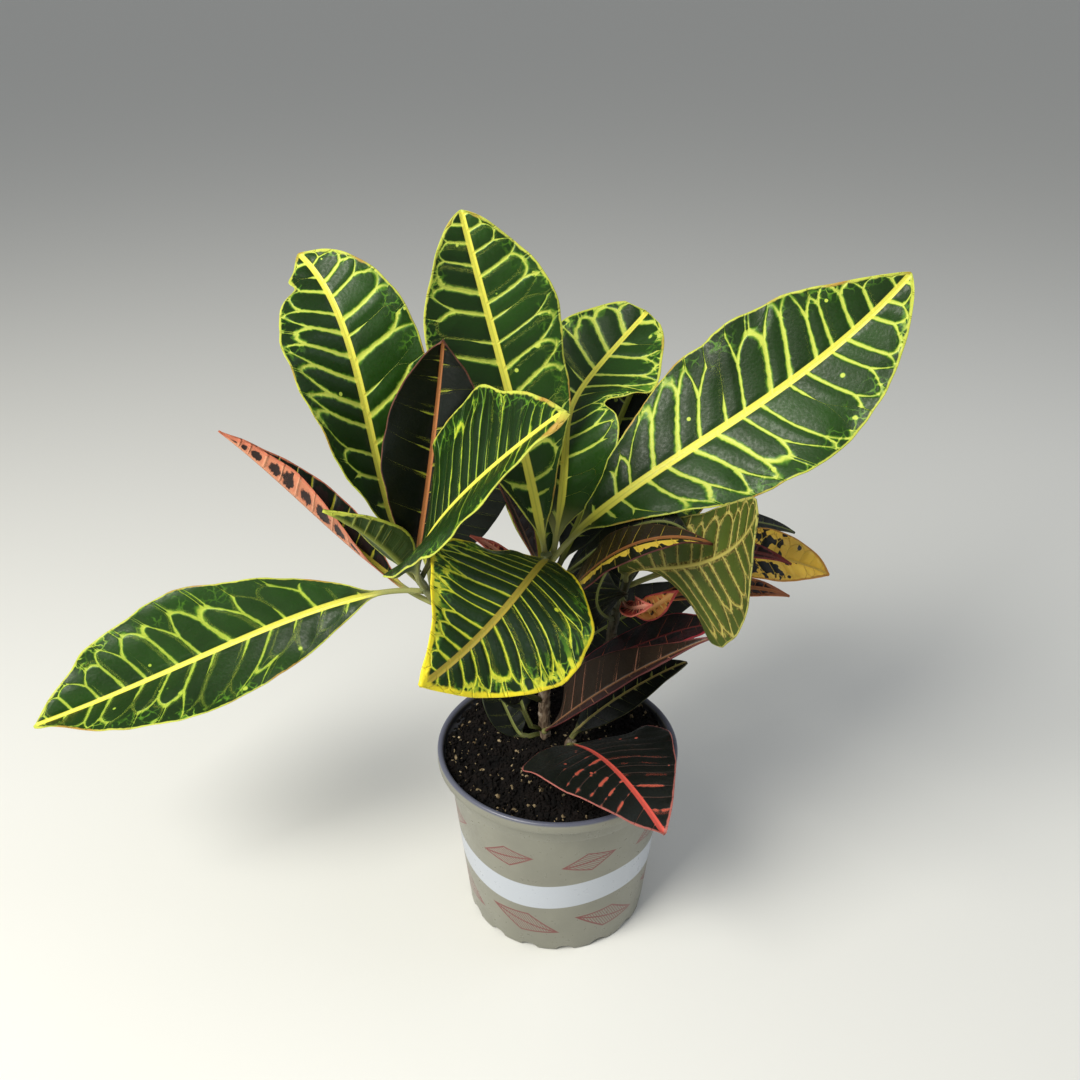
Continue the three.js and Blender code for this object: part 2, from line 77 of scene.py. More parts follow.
def node(tree, kind, *inputs, named=None, **settings):
    """Adds a node, sets its settings, then fills or links its inputs. Returns its first output.
    The kind is the node's own name, or in capitals what a Math node does, such as MULTIPLY."""
    made = tree.nodes.new("ShaderNodeMath" if kind.isupper() else kind)
    if kind.isupper():
        made.operation = kind
    for key, value in settings.items():
        setattr(made, key, value)
    pairs = list(zip([s for s in made.inputs if s.enabled], inputs))
    pairs += [(made.inputs[key], value) for key, value in (named or {}).items()]
    for socket, value in pairs:
        if isinstance(value, bpy.types.NodeSocket):
            tree.links.new(value, socket)
        elif value is not None:
            socket.default_value = value
    return next((s for s in made.outputs if s.enabled), None)


print("white is", tint("ffffff"))

# %% Objects, materials and trees


def new_object(name, data):
    """An object at the origin, unturned and unscaled, in the scene."""
    made = bpy.data.objects.new(name, data)
    bpy.context.scene.collection.objects.link(made)
    return made


def new_material(name):
    """A material and its empty node tree."""
    made = bpy.data.materials.new(name)
    made.use_nodes = True
    made.node_tree.nodes.clear()
    return made, made.node_tree


def new_tree(name, kind, inputs, outputs):
    """An empty tree with named inputs and outputs, and its two end nodes."""
    tree = bpy.data.node_groups.new(name, kind)
    for label, sort in inputs.items():
        tree.interface.new_socket(name=label, in_out="INPUT", socket_type="NodeSocket" + sort)
    for label, sort in outputs.items():
        tree.interface.new_socket(name=label, in_out="OUTPUT", socket_type="NodeSocket" + sort)
    return tree, tree.nodes.new("NodeGroupInput").outputs, tree.nodes.new("NodeGroupOutput").inputs


def run_tree(tree, name, values, source=None):
    """Runs a Geometry Nodes tree once and returns the result as a plain mesh object."""
    holder = new_object(name + "_source", source or bpy.data.meshes.new(name))
    modifier = holder.modifiers.new("build", "NODES")
    modifier.node_group = tree
    for item in tree.interface.items_tree:
        if item.in_out == "INPUT" and item.name in values:
            modifier[item.identifier] = values[item.name]
    graph = bpy.context.evaluated_depsgraph_get()
    mesh = bpy.data.meshes.new_from_object(holder.evaluated_get(graph), depsgraph=graph)
    bpy.data.objects.remove(holder)
    mesh.name = name
    return new_object(name, mesh)


print("tools ready; Blender", bpy.app.version_string)

# %% [markdown]
# ## Camera
# The photograph looks a little down on the plant from the front. The camera was found by laying the rim
# ellipse, the pot's sides and its foot over the picture, and it comes first, because every leaf was
# placed through it.

# %% Camera
CAMERA_PLACE = (0.0, -0.464, 0.482)
CAMERA_TILT = 61.38
CAMERA_TURN = 1.17
LENS = 36.1
SENSOR = 36

camera = new_object("camera", bpy.data.cameras.new("camera"))
camera.data.lens = LENS
camera.data.sensor_width = SENSOR
camera.data.clip_start = 0.01
camera.location = CAMERA_PLACE
camera.rotation_euler = (math.radians(CAMERA_TILT), 0, math.radians(CAMERA_TURN))
bpy.context.scene.camera = camera
print("camera looks down by", round(90 - CAMERA_TILT, 1), "degrees")

# %% [markdown]
# ## The four stems
# Four cuttings share the pot. A leaf stalk leaves its stem sideways, so the stems' curves are needed
# before the leaves. They are the same curves as in the solid model: upright in the soil, then a free bend.

# %% Where the stems run
SOIL_TOP = 97            # millimetres above the table
STEM_DEPTH = 36          # how far a stem goes on below the soil
STEM_TAPER = 0.78        # its radius at the top, as a share of that at the foot
HALVINGS = 30            # enough to find a height on a stem exactly
STEMS = {
    "centre": dict(foot=(-7, 12), bends=[(-9, 13, 140), (-3, 10, 175), (-6, 12, 214)], radius=3.2),
    "left": dict(foot=(-21, 38), bends=[(-22, 44, 130), (-62, 36, 150), (-79, 26, 201)], radius=2.8),
    "right": dict(foot=(27, 34), bends=[(28, 42, 130), (26, 32, 160), (40, 23, 206)], radius=2.8),
    "front": dict(foot=(5, 1), bends=[(5, 1, 100), (6, 0, 103), (7, 0, 106)], radius=2.2),
}


def bezier(points, t):
    """A point of a cubic curve, found by sliding along its lines, then along the lines between those."""
    points = np.array(points, float)
    while len(points) > 1:
        points = points[:-1] * (1 - t) + points[1:] * t
    return points[0]


def stem_at(stem, height):
    """The stem's middle, direction and radius at a height above the table, in millimetres."""
    handles = [(*stem["foot"], SOIL_TOP + 1), *stem["bends"]]
    low, high = 0.0, 1.0
    for _ in range(HALVINGS):
        middle = (low + high) / 2
        if bezier(handles, middle)[2] < height:
            low = middle
        else:
            high = middle
    ahead = bezier(handles, min(1, low + 0.001)) - bezier(handles, low - 0.001)
    radius = stem["radius"] * (1 - (1 - STEM_TAPER) * low)
    return bezier(handles, low), ahead / np.linalg.norm(ahead), radius


print("stems:", ", ".join(STEMS))

# %% [markdown]
# ## One leaf, as a rule
# A croton leaf is a stalk that widens into a blade. It could be modelled by hand, but thirty-eight leaves
# differ only in numbers: where the midrib bends, how wide the blade is and where, which way it faces, and
# how far its two halves fold up. So Geometry Nodes grow it from a closed tube. Each ring of the tube is a
# cross-section: round at the stalk, and in the blade a thin lens that is folded at the midrib. The midrib
# is a cubic curve, made by mixing its four points in pairs until one is left.
#
# The tree also leaves notes on the mesh for the paint: how far a point is from the midrib, how far along,
# and how wide the blade is there, all in millimetres, so that veins keep their width on every leaf.

# %% Leaf tree: along the midrib
leaf_inputs = {
    **dict.fromkeys(("Foot", "Bend 1", "Bend 2", "Tip", "Foot face", "Tip face"), "Vector"),
    **dict.fromkeys(("Length", "Stalk", "Half width", "Widest", "Foot fullness", "Tip fullness",
                     "Waist place", "Waist depth", "Waist reach", "Waist on right", "Left half",
                     "Right half", "Steady", "Foot fold", "Tip fold", "Ripple", "Ripple scale", "Seed"),
                    "Float"),
    "Rings": "Int", "Sides": "Int", "Finish": "Material"}
leaf_tree, given, leaf_out = new_tree("croton leaf", "GeometryNodeTree", leaf_inputs, {"Mesh": "Geometry"})
add = partial(node, leaf_tree)
STALK_RADIUS = 1.5 * MM
BLADE_THICKNESS = 0.8 * MM
RIB_BELOW = 0.7 * MM     # how far the midrib stands out under the blade
RIB_REACH = 4 * MM       # and how far out to the side it does so
TIP_HALF = 0.5 * MM
STALK_RINGS = 0.08       # share of the rings that the stalk gets
STALK_FADE = 0.1         # share of the blade over which the round stalk turns into the flat blade
TIP_DENSITY = 0.14       # crowds the rings towards the tip, as in the solid model

tube = add("GeometryNodeMeshCylinder", fill_type="NGON", named={
    "Vertices": given["Sides"], "Side Segments": given["Rings"], "Radius": 1.0, "Depth": 1.0})
around = add(SEPARATE, add("GeometryNodeInputPosition")).node.outputs
ring = add("ADD", around["Z"], 0.5)
blade_ring = add(RANGE, ring, STALK_RINGS, 1.0)
crowd = add("MULTIPLY", blade_ring, math.pi)
crowd = add("SINE", crowd)
share = add("MULTIPLY_ADD", crowd, TIP_DENSITY, blade_ring)
stalk_part = add(RANGE, ring, 0.0, STALK_RINGS, 0.0, given["Stalk"])
blade_part = add("SUBTRACT", 1.0, given["Stalk"])
place = add("MULTIPLY_ADD", blade_part, share, stalk_part)

corners = [given["Foot"], given["Bend 1"], given["Bend 2"], given["Tip"]]
while len(corners) > 2:
    corners = [add(MIX, place, corners[i], corners[i + 1], data_type="VECTOR")
               for i in range(len(corners) - 1)]
midrib = add(MIX, place, *corners, data_type="VECTOR")
ahead = add(VECTOR, corners[1], corners[0], operation="SUBTRACT")
ahead = add(VECTOR, ahead, operation="NORMALIZE")
chord = add(VECTOR, given["Tip"], given["Foot"], operation="SUBTRACT")
chord = add(VECTOR, chord, operation="NORMALIZE")
ahead = add(MIX, given["Steady"], ahead, chord, data_type="VECTOR")
ahead = add(VECTOR, ahead, operation="NORMALIZE")
face = add(MIX, share, given["Foot face"], given["Tip face"], data_type="VECTOR")
along_face = add(VECTOR, face, ahead, operation="PROJECT")
upper = add(VECTOR, face, along_face, operation="SUBTRACT")
upper = add(VECTOR, upper, operation="NORMALIZE")
aside = add(VECTOR, ahead, upper, operation="CROSS_PRODUCT")
print("leaf tree, midrib:", len(leaf_tree.nodes), "nodes")

# %% [markdown]
# The blade's outline rises as a sine to its widest place and falls again to the tip. A power above one
# draws it in, one below one fills it out. The leaf with a waist has a soft dent in that curve, and two
# other leaves a small bite in one side. Slow noise keeps the margin from looking cut by a machine.

# %% Leaf tree: how wide the blade is
MARGIN_WAVES = 34.0      # in a metre, so the margin swings in and out every 29 mm
NARROWER, WIDER = 0.95, 1.05


def bell(tree, away, width, fall):
    """A soft bell: 1 where away is 0, falling on both sides, and faster for a larger fall."""
    away = node(tree, "DIVIDE", away, width)
    away = node(tree, "MULTIPLY", away, away)
    away = node(tree, "MULTIPLY", away, -fall)
    return node(tree, "EXPONENT", away)


add = partial(node, leaf_tree)
across = add("MULTIPLY", around["X"], -1.0)
on_right = add("GREATER_THAN", across, 0.0)
to_widest = add("DIVIDE", share, given["Widest"])
left_over = add("SUBTRACT", 1.0, share)
from_tip = add("DIVIDE", left_over, add("SUBTRACT", 1.0, given["Widest"]))
past = add("GREATER_THAN", share, given["Widest"])
climb = add("MAXIMUM", add(MIX, past, to_widest, from_tip), 0.0)
power = add(MIX, past, given["Foot fullness"], given["Tip fullness"])
swell = add("SINE", add("MULTIPLY", climb, math.pi / 2))
outline = add("POWER", swell, power)
dent = bell(leaf_tree, add("SUBTRACT", share, given["Waist place"]), given["Waist reach"], 1.0)
for factor in (given["Waist depth"], add(MIX, on_right, 1.0, given["Waist on right"])):
    dent = add("MULTIPLY", dent, factor)
for factor in (add("SUBTRACT", 1.0, dent), given["Half width"]):
    outline = add("MULTIPLY", outline, factor)
neck = add("POWER", left_over, 4.0)
neck = add("MULTIPLY_ADD", neck, STALK_RADIUS, TIP_HALF)
outline = add(VECTOR, add(COMBINE, outline, neck), operation="LENGTH")

half_share = add(MIX, on_right, given["Left half"], given["Right half"])
half = add("MULTIPLY", outline, half_share)
margin_place = add("MULTIPLY", share, given["Length"])
margin_place = add(COMBINE, margin_place, on_right, given["Seed"])
uneven = add(NOISE, named={"Vector": margin_place, "Scale": MARGIN_WAVES, "Detail": 2.0})
uneven = add(RANGE, uneven, NOISE_LOW, NOISE_HIGH, NARROWER, WIDER)
half = add("MULTIPLY", half, uneven)
reach = add("MULTIPLY", half, across)
far = add("ABSOLUTE", reach)
print("leaf tree, outline:", len(leaf_tree.nodes), "nodes")

# %% Leaf tree: the cross-section
FLATNESS = 5.0           # the larger, the nearer to its margin the blade stays evenly thick
RIB_AT_TIP = 0.2         # share of the midrib's height that is left at the tip

add = partial(node, leaf_tree)
skin = add("MULTIPLY", around["Y"], FLATNESS)
skin = add("ShaderNodeClamp", skin, -1.0, 1.0)
skin = add("MULTIPLY", skin, BLADE_THICKNESS / 2)
rib = add(RANGE, far, 0.0, RIB_REACH, RIB_BELOW, 0.0, **SMOOTH)
rib = add("MULTIPLY", rib, add(RANGE, share, 0.0, 1.0, 1.0, RIB_AT_TIP))
below = add("LESS_THAN", around["Y"], 0.0)
rib = add("MULTIPLY", rib, below)
skin = add("SUBTRACT", skin, rib)

seeded = add(COMBINE, reach, add("MULTIPLY", share, given["Length"]), given["Seed"])
wave = add(NOISE, named={"Vector": seeded, "Scale": given["Ripple scale"], "Detail": 1.0})
wave = add("SUBTRACT", wave, 0.5)
at_margin = add("MULTIPLY", across, across)
wave = add("MULTIPLY", wave, at_margin)
skin = add("MULTIPLY_ADD", wave, given["Ripple"], skin)

fold = add(MIX, share, given["Foot fold"], given["Tip fold"])
lean = add("COSINE", fold)
rise = add("SINE", fold)
flat_side = add("MULTIPLY", reach, lean)
flat_up = add("MULTIPLY_ADD", far, rise, skin)
stalkness = add(RANGE, share, 0.0, STALK_FADE, 1.0, 0.0)
round_side = add("MULTIPLY", across, STALK_RADIUS)
round_up = add("MULTIPLY", around["Y"], STALK_RADIUS)
sideways = add(MIX, stalkness, flat_side, round_side)
upwards = add(MIX, stalkness, flat_up, round_up)
point = add(VECTOR, aside, named={"Scale": sideways}, operation="SCALE")
lift = add(VECTOR, upper, named={"Scale": upwards}, operation="SCALE")
point = add(VECTOR, point, lift, operation="ADD")
point = add(VECTOR, point, midrib, operation="ADD")
print("leaf tree, section:", len(leaf_tree.nodes), "nodes")

# %% Leaf tree: notes for the paint, and the end of the tree
add = partial(node, leaf_tree)
length_mm = add("MULTIPLY", given["Length"], 1 / MM)
along_mm = add("MULTIPLY", share, length_mm)
reach_mm = add("MULTIPLY", reach, 1 / MM)
half_mm = add("MULTIPLY", half, 1 / MM)
on_top = add(RANGE, around["Y"], -0.05, 0.05)
notes = {"leaf_mm": add(COMBINE, reach_mm, along_mm, half_mm),
         "leaf_state": add(COMBINE, share, on_top, stalkness),
         "leaf_seed": add(COMBINE, given["Seed"])}
grown = tube
for label, value in notes.items():
    grown = add("GeometryNodeStoreNamedAttribute", data_type="FLOAT_VECTOR", domain="POINT",
                named={"Geometry": grown, "Name": label, "Value": value})
grown = add("GeometryNodeSetPosition", named={"Geometry": grown, "Position": point})
grown = add("GeometryNodeSetShadeSmooth", named={"Geometry": grown})
grown = add("GeometryNodeRealizeInstances", grown)
grown = add("GeometryNodeSetMaterial", named={"Geometry": grown, "Material": given["Finish"]})
leaf_tree.links.new(grown, leaf_out["Mesh"])
print("leaf tree, whole:", len(leaf_tree.nodes), "nodes")

# %% [markdown]
# ## The vein pattern
# The paint of a croton leaf follows its veins, so the pattern is built from the notes on the mesh and not
# from a flat texture. Side veins leave the midrib at about 65 degrees and bend a little to the tip. Seen
# from a point of the blade, sliding back along that line to the midrib gives the place where its vein
# starts. Dividing by the spacing numbers the veins, and what is left over is the distance to the nearest
# one. Past the fork line each vein opens into two branches that meet their neighbours in loops before the
# margin. A soft bell around each line is added up, so where a vein joins the rib the two bells melt into
# the small flare that the real ones have.
#
# No two veins are alike. On some leaves they are thin near the foot, on others only a few bold ones show,
# and here and there one stops short, so each of these has a number of its own.

# %% Pattern tree: numbering the side veins
PATTERN_START = {
    "Spacing": 13.2,       # mm from one side vein to the next
    "Slant": 0.42,         # mm that a vein runs towards the tip for each mm outwards
    "Curl": 0.004,         # how much more it bends that way further out
    "Vein": 2.1,           # mm, width of a vein
    "Rib foot": 4.4,       # mm, width of the rib's colour at the foot
    "Rib tip": 2.4,        # and at the tip
    "Margin": 0.8,         # mm, width of the coloured margin
    "Fork": 0.6,           # where a vein forks, as a share of the way to the margin
    "Fork reach": 0.24,    # and how far on its branches meet the next ones
    "Thin at foot": 0.0,   # how much thinner the veins are near the foot
    "Faint": 0.0,          # how much paler all but the bold ones are
    "Short ones": 0.07,    # share of the veins that stop short
    "Bold ones": 0.0,      # how much wider the bold ones are
    "Dots": 0.08,          # share of places with a golden fleck
    "Net": 0.9,            # strength of the torn net
    "Blush": 0.0,          # strength of the soft patches near the margin
    "Fine": 0.0,           # strength of the hair-fine veins
    "Fine spacing": 3.0,   # mm between those
    "Streak": 0.0,         # strength of the pale streak beside the rib
    "Islands": 0.0,        # strength of the dark islands between the veins
    "Blotch size": 0.1,    # blotches in a mm
    "Blotch share": 0.0,   # noise below this is a blotch
    "Blotch drift": 0.0}   # and so much less of it at the tip
CROWDING = 1.5             # veins that the tip gets on top of even spacing
HALF_SHIFT = 0.45          # the right half's veins start between the left half's
STRAY = 0.8                # how far a vein sways, as a share of the spacing
CLOUDS, SWAYS = 0.04, 0.022     # in a mm: clouds of colour 25 mm wide, and veins that sway over 45 mm

pattern, asked, shown = new_tree(
    "croton vein pattern", "ShaderNodeTree", dict.fromkeys(PATTERN_START, "Float"),
    dict.fromkeys(("Veins", "Rib", "Crease", "Edge", "Blotch", "Cloud", "Upper", "Stalk", "Right", "Relief",
                   "Quilt"), "Float"))
add = partial(node, pattern)
read = {}
for label in notes:      # the three numbers that the leaf tree left on the mesh under each name
    stored = add("ShaderNodeAttribute", attribute_name=label).node.outputs["Vector"]
    read[label] = add(SEPARATE, stored).node.outputs
from_rib, along, half_here = read["leaf_mm"]
share_here, top_here, stalk_here = read["leaf_state"]
seed_here = read["leaf_seed"]["X"]
away = add("ABSOLUTE", from_rib)
right = add("GREATER_THAN", from_rib, 0.0)
edge_share = add("DIVIDE", away, half_here)
side_seed = add("MULTIPLY_ADD", right, 17.3, seed_here)      # so that the halves differ

flat = add(COMBINE, from_rib, along, side_seed)
cloud = add(NOISE, named={"Vector": flat, "Scale": CLOUDS, "Detail": 2.0})
sway = add(NOISE, named={"Vector": flat, "Scale": SWAYS, "Detail": 0.5})
sway = add("SUBTRACT", sway, 0.5)
back = add("MULTIPLY", away, asked["Slant"])
bend = add("MULTIPLY", away, away)
bend = add("MULTIPLY", bend, asked["Curl"])
start = add("SUBTRACT", along, back)
start = add("SUBTRACT", start, bend)
turns = add("DIVIDE", start, asked["Spacing"])
crowded = add("POWER", share_here, 3.0)
for what, strength in ((crowded, CROWDING), (right, HALF_SHIFT), (sway, STRAY)):
    turns = add("MULTIPLY_ADD", what, strength, turns)
number = add("FLOOR", turns)
chance = add("ShaderNodeTexWhiteNoise", add(COMBINE, number, side_seed),
             noise_dimensions="3D").node.outputs["Color"]
shift, bold_here, weight = add(SEPARATE, chance).node.outputs
print("vein pattern, numbered:", len(pattern.nodes), "nodes")

# %% Pattern tree: side veins, their forks and the midrib
VEIN_FALL, RIB_FALL = 2.4, 2.8             # how fast their colour ends at the sides
FORK_STRAIGHT, FORK_ARC = 0.45, 0.55       # a branch opens partly straight and partly in an arc
FORK_WANDERS = (-0.12, 0.16)               # how far the fork line strays to the rib and to the margin
WIDTHS = (0.6, 1.15)                       # the thinnest and the widest vein of a leaf
RAGGED = (0.75, 1.25)                      # how far a vein's sides run in and out
RAGS, PATCHES = 0.3, 0.11                  # in a mm: sides that waver every 3 mm, and patches of 9 mm
FORK_NOISE = 0.8                           # a vein, so neighbours fork at places of their own
BOLD_FROM = 0.6                            # two veins in five may be bold
LEAST_WIDTH = 0.05                         # mm, so that nothing is divided by 0

add = partial(node, pattern)
off = add("SUBTRACT", turns, number)
off = add("SUBTRACT", off, 0.5)
middle = add("MULTIPLY", off, off)
middle = add(RANGE, middle, 0.0, 0.25, 0.4, 0.0)
shift = add("SUBTRACT", shift, 0.5)
off = add("MULTIPLY_ADD", shift, middle, off)
off = add("ABSOLUTE", off)
opening = add(NOISE, named={"Vector": add(COMBINE, turns, side_seed), "Scale": FORK_NOISE, "Detail": 0.0})
opening = add(RANGE, opening, NOISE_LOW, NOISE_HIGH, *FORK_WANDERS)
fork_line = add("ADD", opening, asked["Fork"])
fork_end = add("ADD", fork_line, asked["Fork reach"])
forked = add(RANGE, edge_share, fork_line, fork_end)
quilt = add(RANGE, off, 0.0, 0.5, **SMOOTH)
quilt = add("MULTIPLY", quilt, add(RANGE, forked, 0.0, 0.8, 1.0, 0.0))
arch = add("MULTIPLY", forked, forked)
arch = add("SUBTRACT", 1.04, arch)
arch = add("SQRT", arch)
spread = add("MULTIPLY_ADD", arch, -FORK_ARC, 0.57)
spread = add("MULTIPLY_ADD", forked, FORK_STRAIGHT, spread)
slope = add("DIVIDE", forked, arch)
slope = add("MULTIPLY_ADD", slope, FORK_ARC, FORK_STRAIGHT)
slope = add("MULTIPLY", slope, add("GREATER_THAN", forked, 0.0))
off = add("MULTIPLY_ADD", spread, -0.5, off)
off = add("ABSOLUTE", off)
off = add("MULTIPLY", off, asked["Spacing"])

rough_edge = add(NOISE, named={"Vector": flat, "Scale": RAGS, "Detail": 1.0})
rough_edge = add(RANGE, rough_edge, NOISE_LOW, NOISE_HIGH, *RAGGED)
beyond_fork = add("SUBTRACT", edge_share, fork_end)
early = add(RANGE, share_here, 0.15, 0.75, asked["Thin at foot"], 0.0)
patchy = add(NOISE, named={"Vector": flat, "Scale": PATCHES, "Detail": 2.0})
bold_here = add("GREATER_THAN", bold_here, BOLD_FROM)
for limit in (add(RANGE, patchy, 0.48, 0.56), add(RANGE, share_here, 0.35, 0.5)):
    bold_here = add("MULTIPLY", bold_here, limit)
short = add("LESS_THAN", weight, asked["Short ones"])
longest = add(RANGE, start, 0.0, 60.0, 0.3, 1.25)    # the first ones stop before the margin
longest = add("MULTIPLY", longest, add(RANGE, short, 0.0, 1.0, 1.0, 0.3))
ending = add("SUBTRACT", longest, edge_share)
thick = add(RANGE, weight, 0.0, 1.0, *WIDTHS)
for factor in (
        asked["Vein"],
        rough_edge,
        add(RANGE, edge_share, 0.0, 0.3, 1.3, 1.0),         # wider next to the rib
        add(RANGE, forked, 0.0, 0.5, 1.0, 0.6),             # a branch is thinner than its vein
        add("MULTIPLY_ADD", slope, 0.8, 1.0),               # keeps its width where it slants
        add(RANGE, beyond_fork, 0.0, 0.07, 1.0, 0.12),      # nearly gone once the loops close
        add("SUBTRACT", 1.0, early),
        add("MULTIPLY_ADD", bold_here, asked["Bold ones"], 1.0),
        add(RANGE, ending, 0.0, 0.18)):                     # tapers to its end
    thick = add("MULTIPLY", thick, factor)
thick = add("MAXIMUM", thick, LEAST_WIDTH)
vein_bell = bell(pattern, off, thick, VEIN_FALL)
fading = add(RANGE, edge_share, 0.55, 0.95, 1.0, 0.5)
bright = add("MULTIPLY", vein_bell, fading)
faint = add("MULTIPLY", add("SUBTRACT", 1.0, bold_here), asked["Faint"])
bright = add("MULTIPLY", bright, add("SUBTRACT", 1.0, faint))

rib_width = add(MIX, share_here, asked["Rib foot"], asked["Rib tip"])
rib_bell = bell(pattern, away, rib_width, RIB_FALL)
crease = add(RANGE, away, 0.15, 0.55, 1.0, 0.0)
beyond_rib = add("DIVIDE", away, rib_width)
beyond_rib = add(RANGE, beyond_rib, 0.4, 1.4, **SMOOTH)
quilt = add("MULTIPLY", quilt, beyond_rib)
print("vein pattern, veins:", len(pattern.nodes), "nodes")

# %% [markdown]
# Between the veins the real leaf has hair-fine veins, a few round golden flecks, and a torn net of pale
# green that thickens towards the margin and the tip. The margin itself is a thin golden band that fills
# the whole tip, because its width grows there while the blade narrows. Some leaves carry dark islands
# between their side veins, and some have blotches all over.

# %% Pattern tree: fine veins, flecks and net
FINE_FALL = 14.0                        # a hair-fine vein is about half a millimetre wide
FLECKS = 0.16                           # in a mm: places for a fleck are 6 mm apart
MESHES, WARPS = 0.22, 0.35              # in a mm: meshes of the net 4.5 mm wide, bent every 3 mm
WARP = 3.5                              # mm by which they are bent
STREAK_FROM, STREAK_TO = 2.0, 17.4      # the streak's sides, the outer one with its noise added in


def along_veins(crosswise, lengthwise):
    """Places for a noise that is longer one way than the other, from its changes in a mm."""
    return node(pattern, COMBINE, node(pattern, "MULTIPLY", away, crosswise),
                node(pattern, "MULTIPLY", start, lengthwise), side_seed)


add = partial(node, pattern)
fine = add("DIVIDE", start, asked["Fine spacing"])
fine = add("MULTIPLY_ADD", sway, 4.0, fine)
fine_number = add("FLOOR", fine)
fine_chance = add("ShaderNodeTexWhiteNoise", add(COMBINE, fine_number, side_seed), noise_dimensions="3D")
fine = add("FRACT", fine)
fine = add("SUBTRACT", fine, 0.5)
fine = add("MULTIPLY", fine, asked["Fine spacing"])
fine = bell(pattern, fine, 1.0, FINE_FALL)
for factor in (fine_chance, add(RANGE, edge_share, 0.6, 0.95, 1.0, 0.0), asked["Fine"]):
    fine = add("MULTIPLY", fine, factor)

cells = add("ShaderNodeTexVoronoi", named={"Vector": flat, "Scale": FLECKS}).node.outputs
fleck_chance, fleck_size = add(SEPARATE, cells["Color"]).node.outputs[:2]
fleck_size = add(RANGE, fleck_size, 0.0, 1.0, 0.07, 0.2)
fleck = add("DIVIDE", cells["Distance"], fleck_size)
fleck = add(RANGE, fleck, 0.6, 1.5, 1.0, 0.0, **SMOOTH)
fleck = add("MULTIPLY", fleck, add("LESS_THAN", fleck_chance, asked["Dots"]))

outwards = add(RANGE, edge_share, 0.5, 0.95)
tipwards = add(RANGE, share_here, 0.2, 1.0, 0.25, 1.4)
outwards = add("MULTIPLY", outwards, tipwards)
torn = add(NOISE, named={"Vector": along_veins(0.2, 0.3), "Scale": 1.9, "Detail": 2.0})
mottle = add(NOISE, named={"Vector": along_veins(0.13, 0.28), "Scale": 1.0, "Detail": 1.5})
blush = add(RANGE, mottle, 0.46, 0.6, **SMOOTH)
for factor in (outwards, asked["Blush"]):
    blush = add("MULTIPLY", blush, factor)
warp = add(NOISE, named={"Vector": flat, "Scale": WARPS, "Detail": 1.0}).node.outputs["Color"]
warp = add(VECTOR, warp, (WARP, WARP, 0.0), flat, operation="MULTIPLY_ADD")
mesh = add("ShaderNodeTexVoronoi", feature="DISTANCE_TO_EDGE", named={"Vector": warp, "Scale": MESHES})
mesh = add(RANGE, mesh, 0.01, 0.15, 0.62, 0.0, **SMOOTH)
for factor in (add(RANGE, patchy, 0.42, 0.62), outwards, asked["Net"]):
    mesh = add("MULTIPLY", mesh, factor)

beside = add("MULTIPLY_ADD", patchy, 9.0, away)
beside = add("MULTIPLY_ADD", mottle, 15.0, beside)
streak = add(RANGE, beside, STREAK_TO - 0.6, STREAK_TO, 1.0, 0.0)
for factor in (add(RANGE, away, STREAK_FROM, STREAK_FROM + 0.5), right, asked["Streak"]):
    streak = add("MULTIPLY", streak, factor)
lines = bright
for more in (fine, fleck, blush, mesh, streak):
    lines = add("ADD", lines, more)
print("vein pattern, details:", len(pattern.nodes), "nodes")

# %% Pattern tree: margin and blotches
TIP_BAND = 1.6                 # how much wider the margin is at the tip

add = partial(node, pattern)
inwards = add("SUBTRACT", half_here, away)
band = add("POWER", share_here, 5.0)
band = add("MULTIPLY_ADD", band, TIP_BAND, 1.0)
for factor in (asked["Margin"], rough_edge):
    band = add("MULTIPLY", band, factor)
edge = add("DIVIDE", inwards, band)
edge = add(RANGE, edge, 0.7, 1.3, 1.0, 0.0, **SMOOTH)

spots = add(VECTOR, flat, named={"Scale": asked["Blotch size"]}, operation="SCALE")
spots = add(NOISE, named={"Vector": spots, "Scale": 1.0, "Detail": 1.5})
level = add("MULTIPLY", share_here, asked["Blotch drift"])
level = add("SUBTRACT", asked["Blotch share"], level)
spots = add("SUBTRACT", level, spots)
spots = add(RANGE, spots, -0.01, 0.02, **SMOOTH)
lengthwise = add("DIVIDE", off, asked["Spacing"])
lengthwise = add(RANGE, lengthwise, 0.5, 0.12)
crosswise = add(RANGE, edge_share, 0.1, 0.86, -1.0, 1.0)
crosswise = add("ABSOLUTE", crosswise)
islands = add(VECTOR, add(COMBINE, lengthwise, crosswise), operation="LENGTH")
for what, strength in ((torn, 0.8), (weight, 0.4)):
    islands = add("MULTIPLY_ADD", what, strength, islands)
islands = add(RANGE, islands, 1.32, 1.5, 1.0, 0.0)
islands = add("MULTIPLY", islands, asked["Islands"])
spots = add("MAXIMUM", spots, islands)

relief = add("ADD", vein_bell, fine)
relief = add("MAXIMUM", relief, rib_bell)
for label, value in {"Veins": lines, "Rib": rib_bell, "Crease": crease, "Edge": edge, "Blotch": spots,
                     "Cloud": cloud, "Upper": top_here, "Stalk": stalk_here, "Right": right,
                     "Relief": relief, "Quilt": quilt}.items():
    pattern.links.new(value, shown[label])
print("vein pattern, whole:", len(pattern.nodes), "nodes")

# %% [markdown]
# ## Leaf finishes
# Every finish is the same living material: a leaf with a waxy cuticle, so a dielectric with an IOR near
# 1.45, satin on top and matt below, with a little light coming through it. A finish only names its
# colours and the numbers of its pattern. The veins are pressed into the upper side and stand out below,
# and the blade swells between them like a quilt, which is what breaks up the shine.
#
# Rust is the second colour of an old margin. Speckle is for a leaf seen from below, where the colour of
# the veins has spread over the whole blade in fine grains. Without it, that colour only bleeds a little
# way out from each vein.

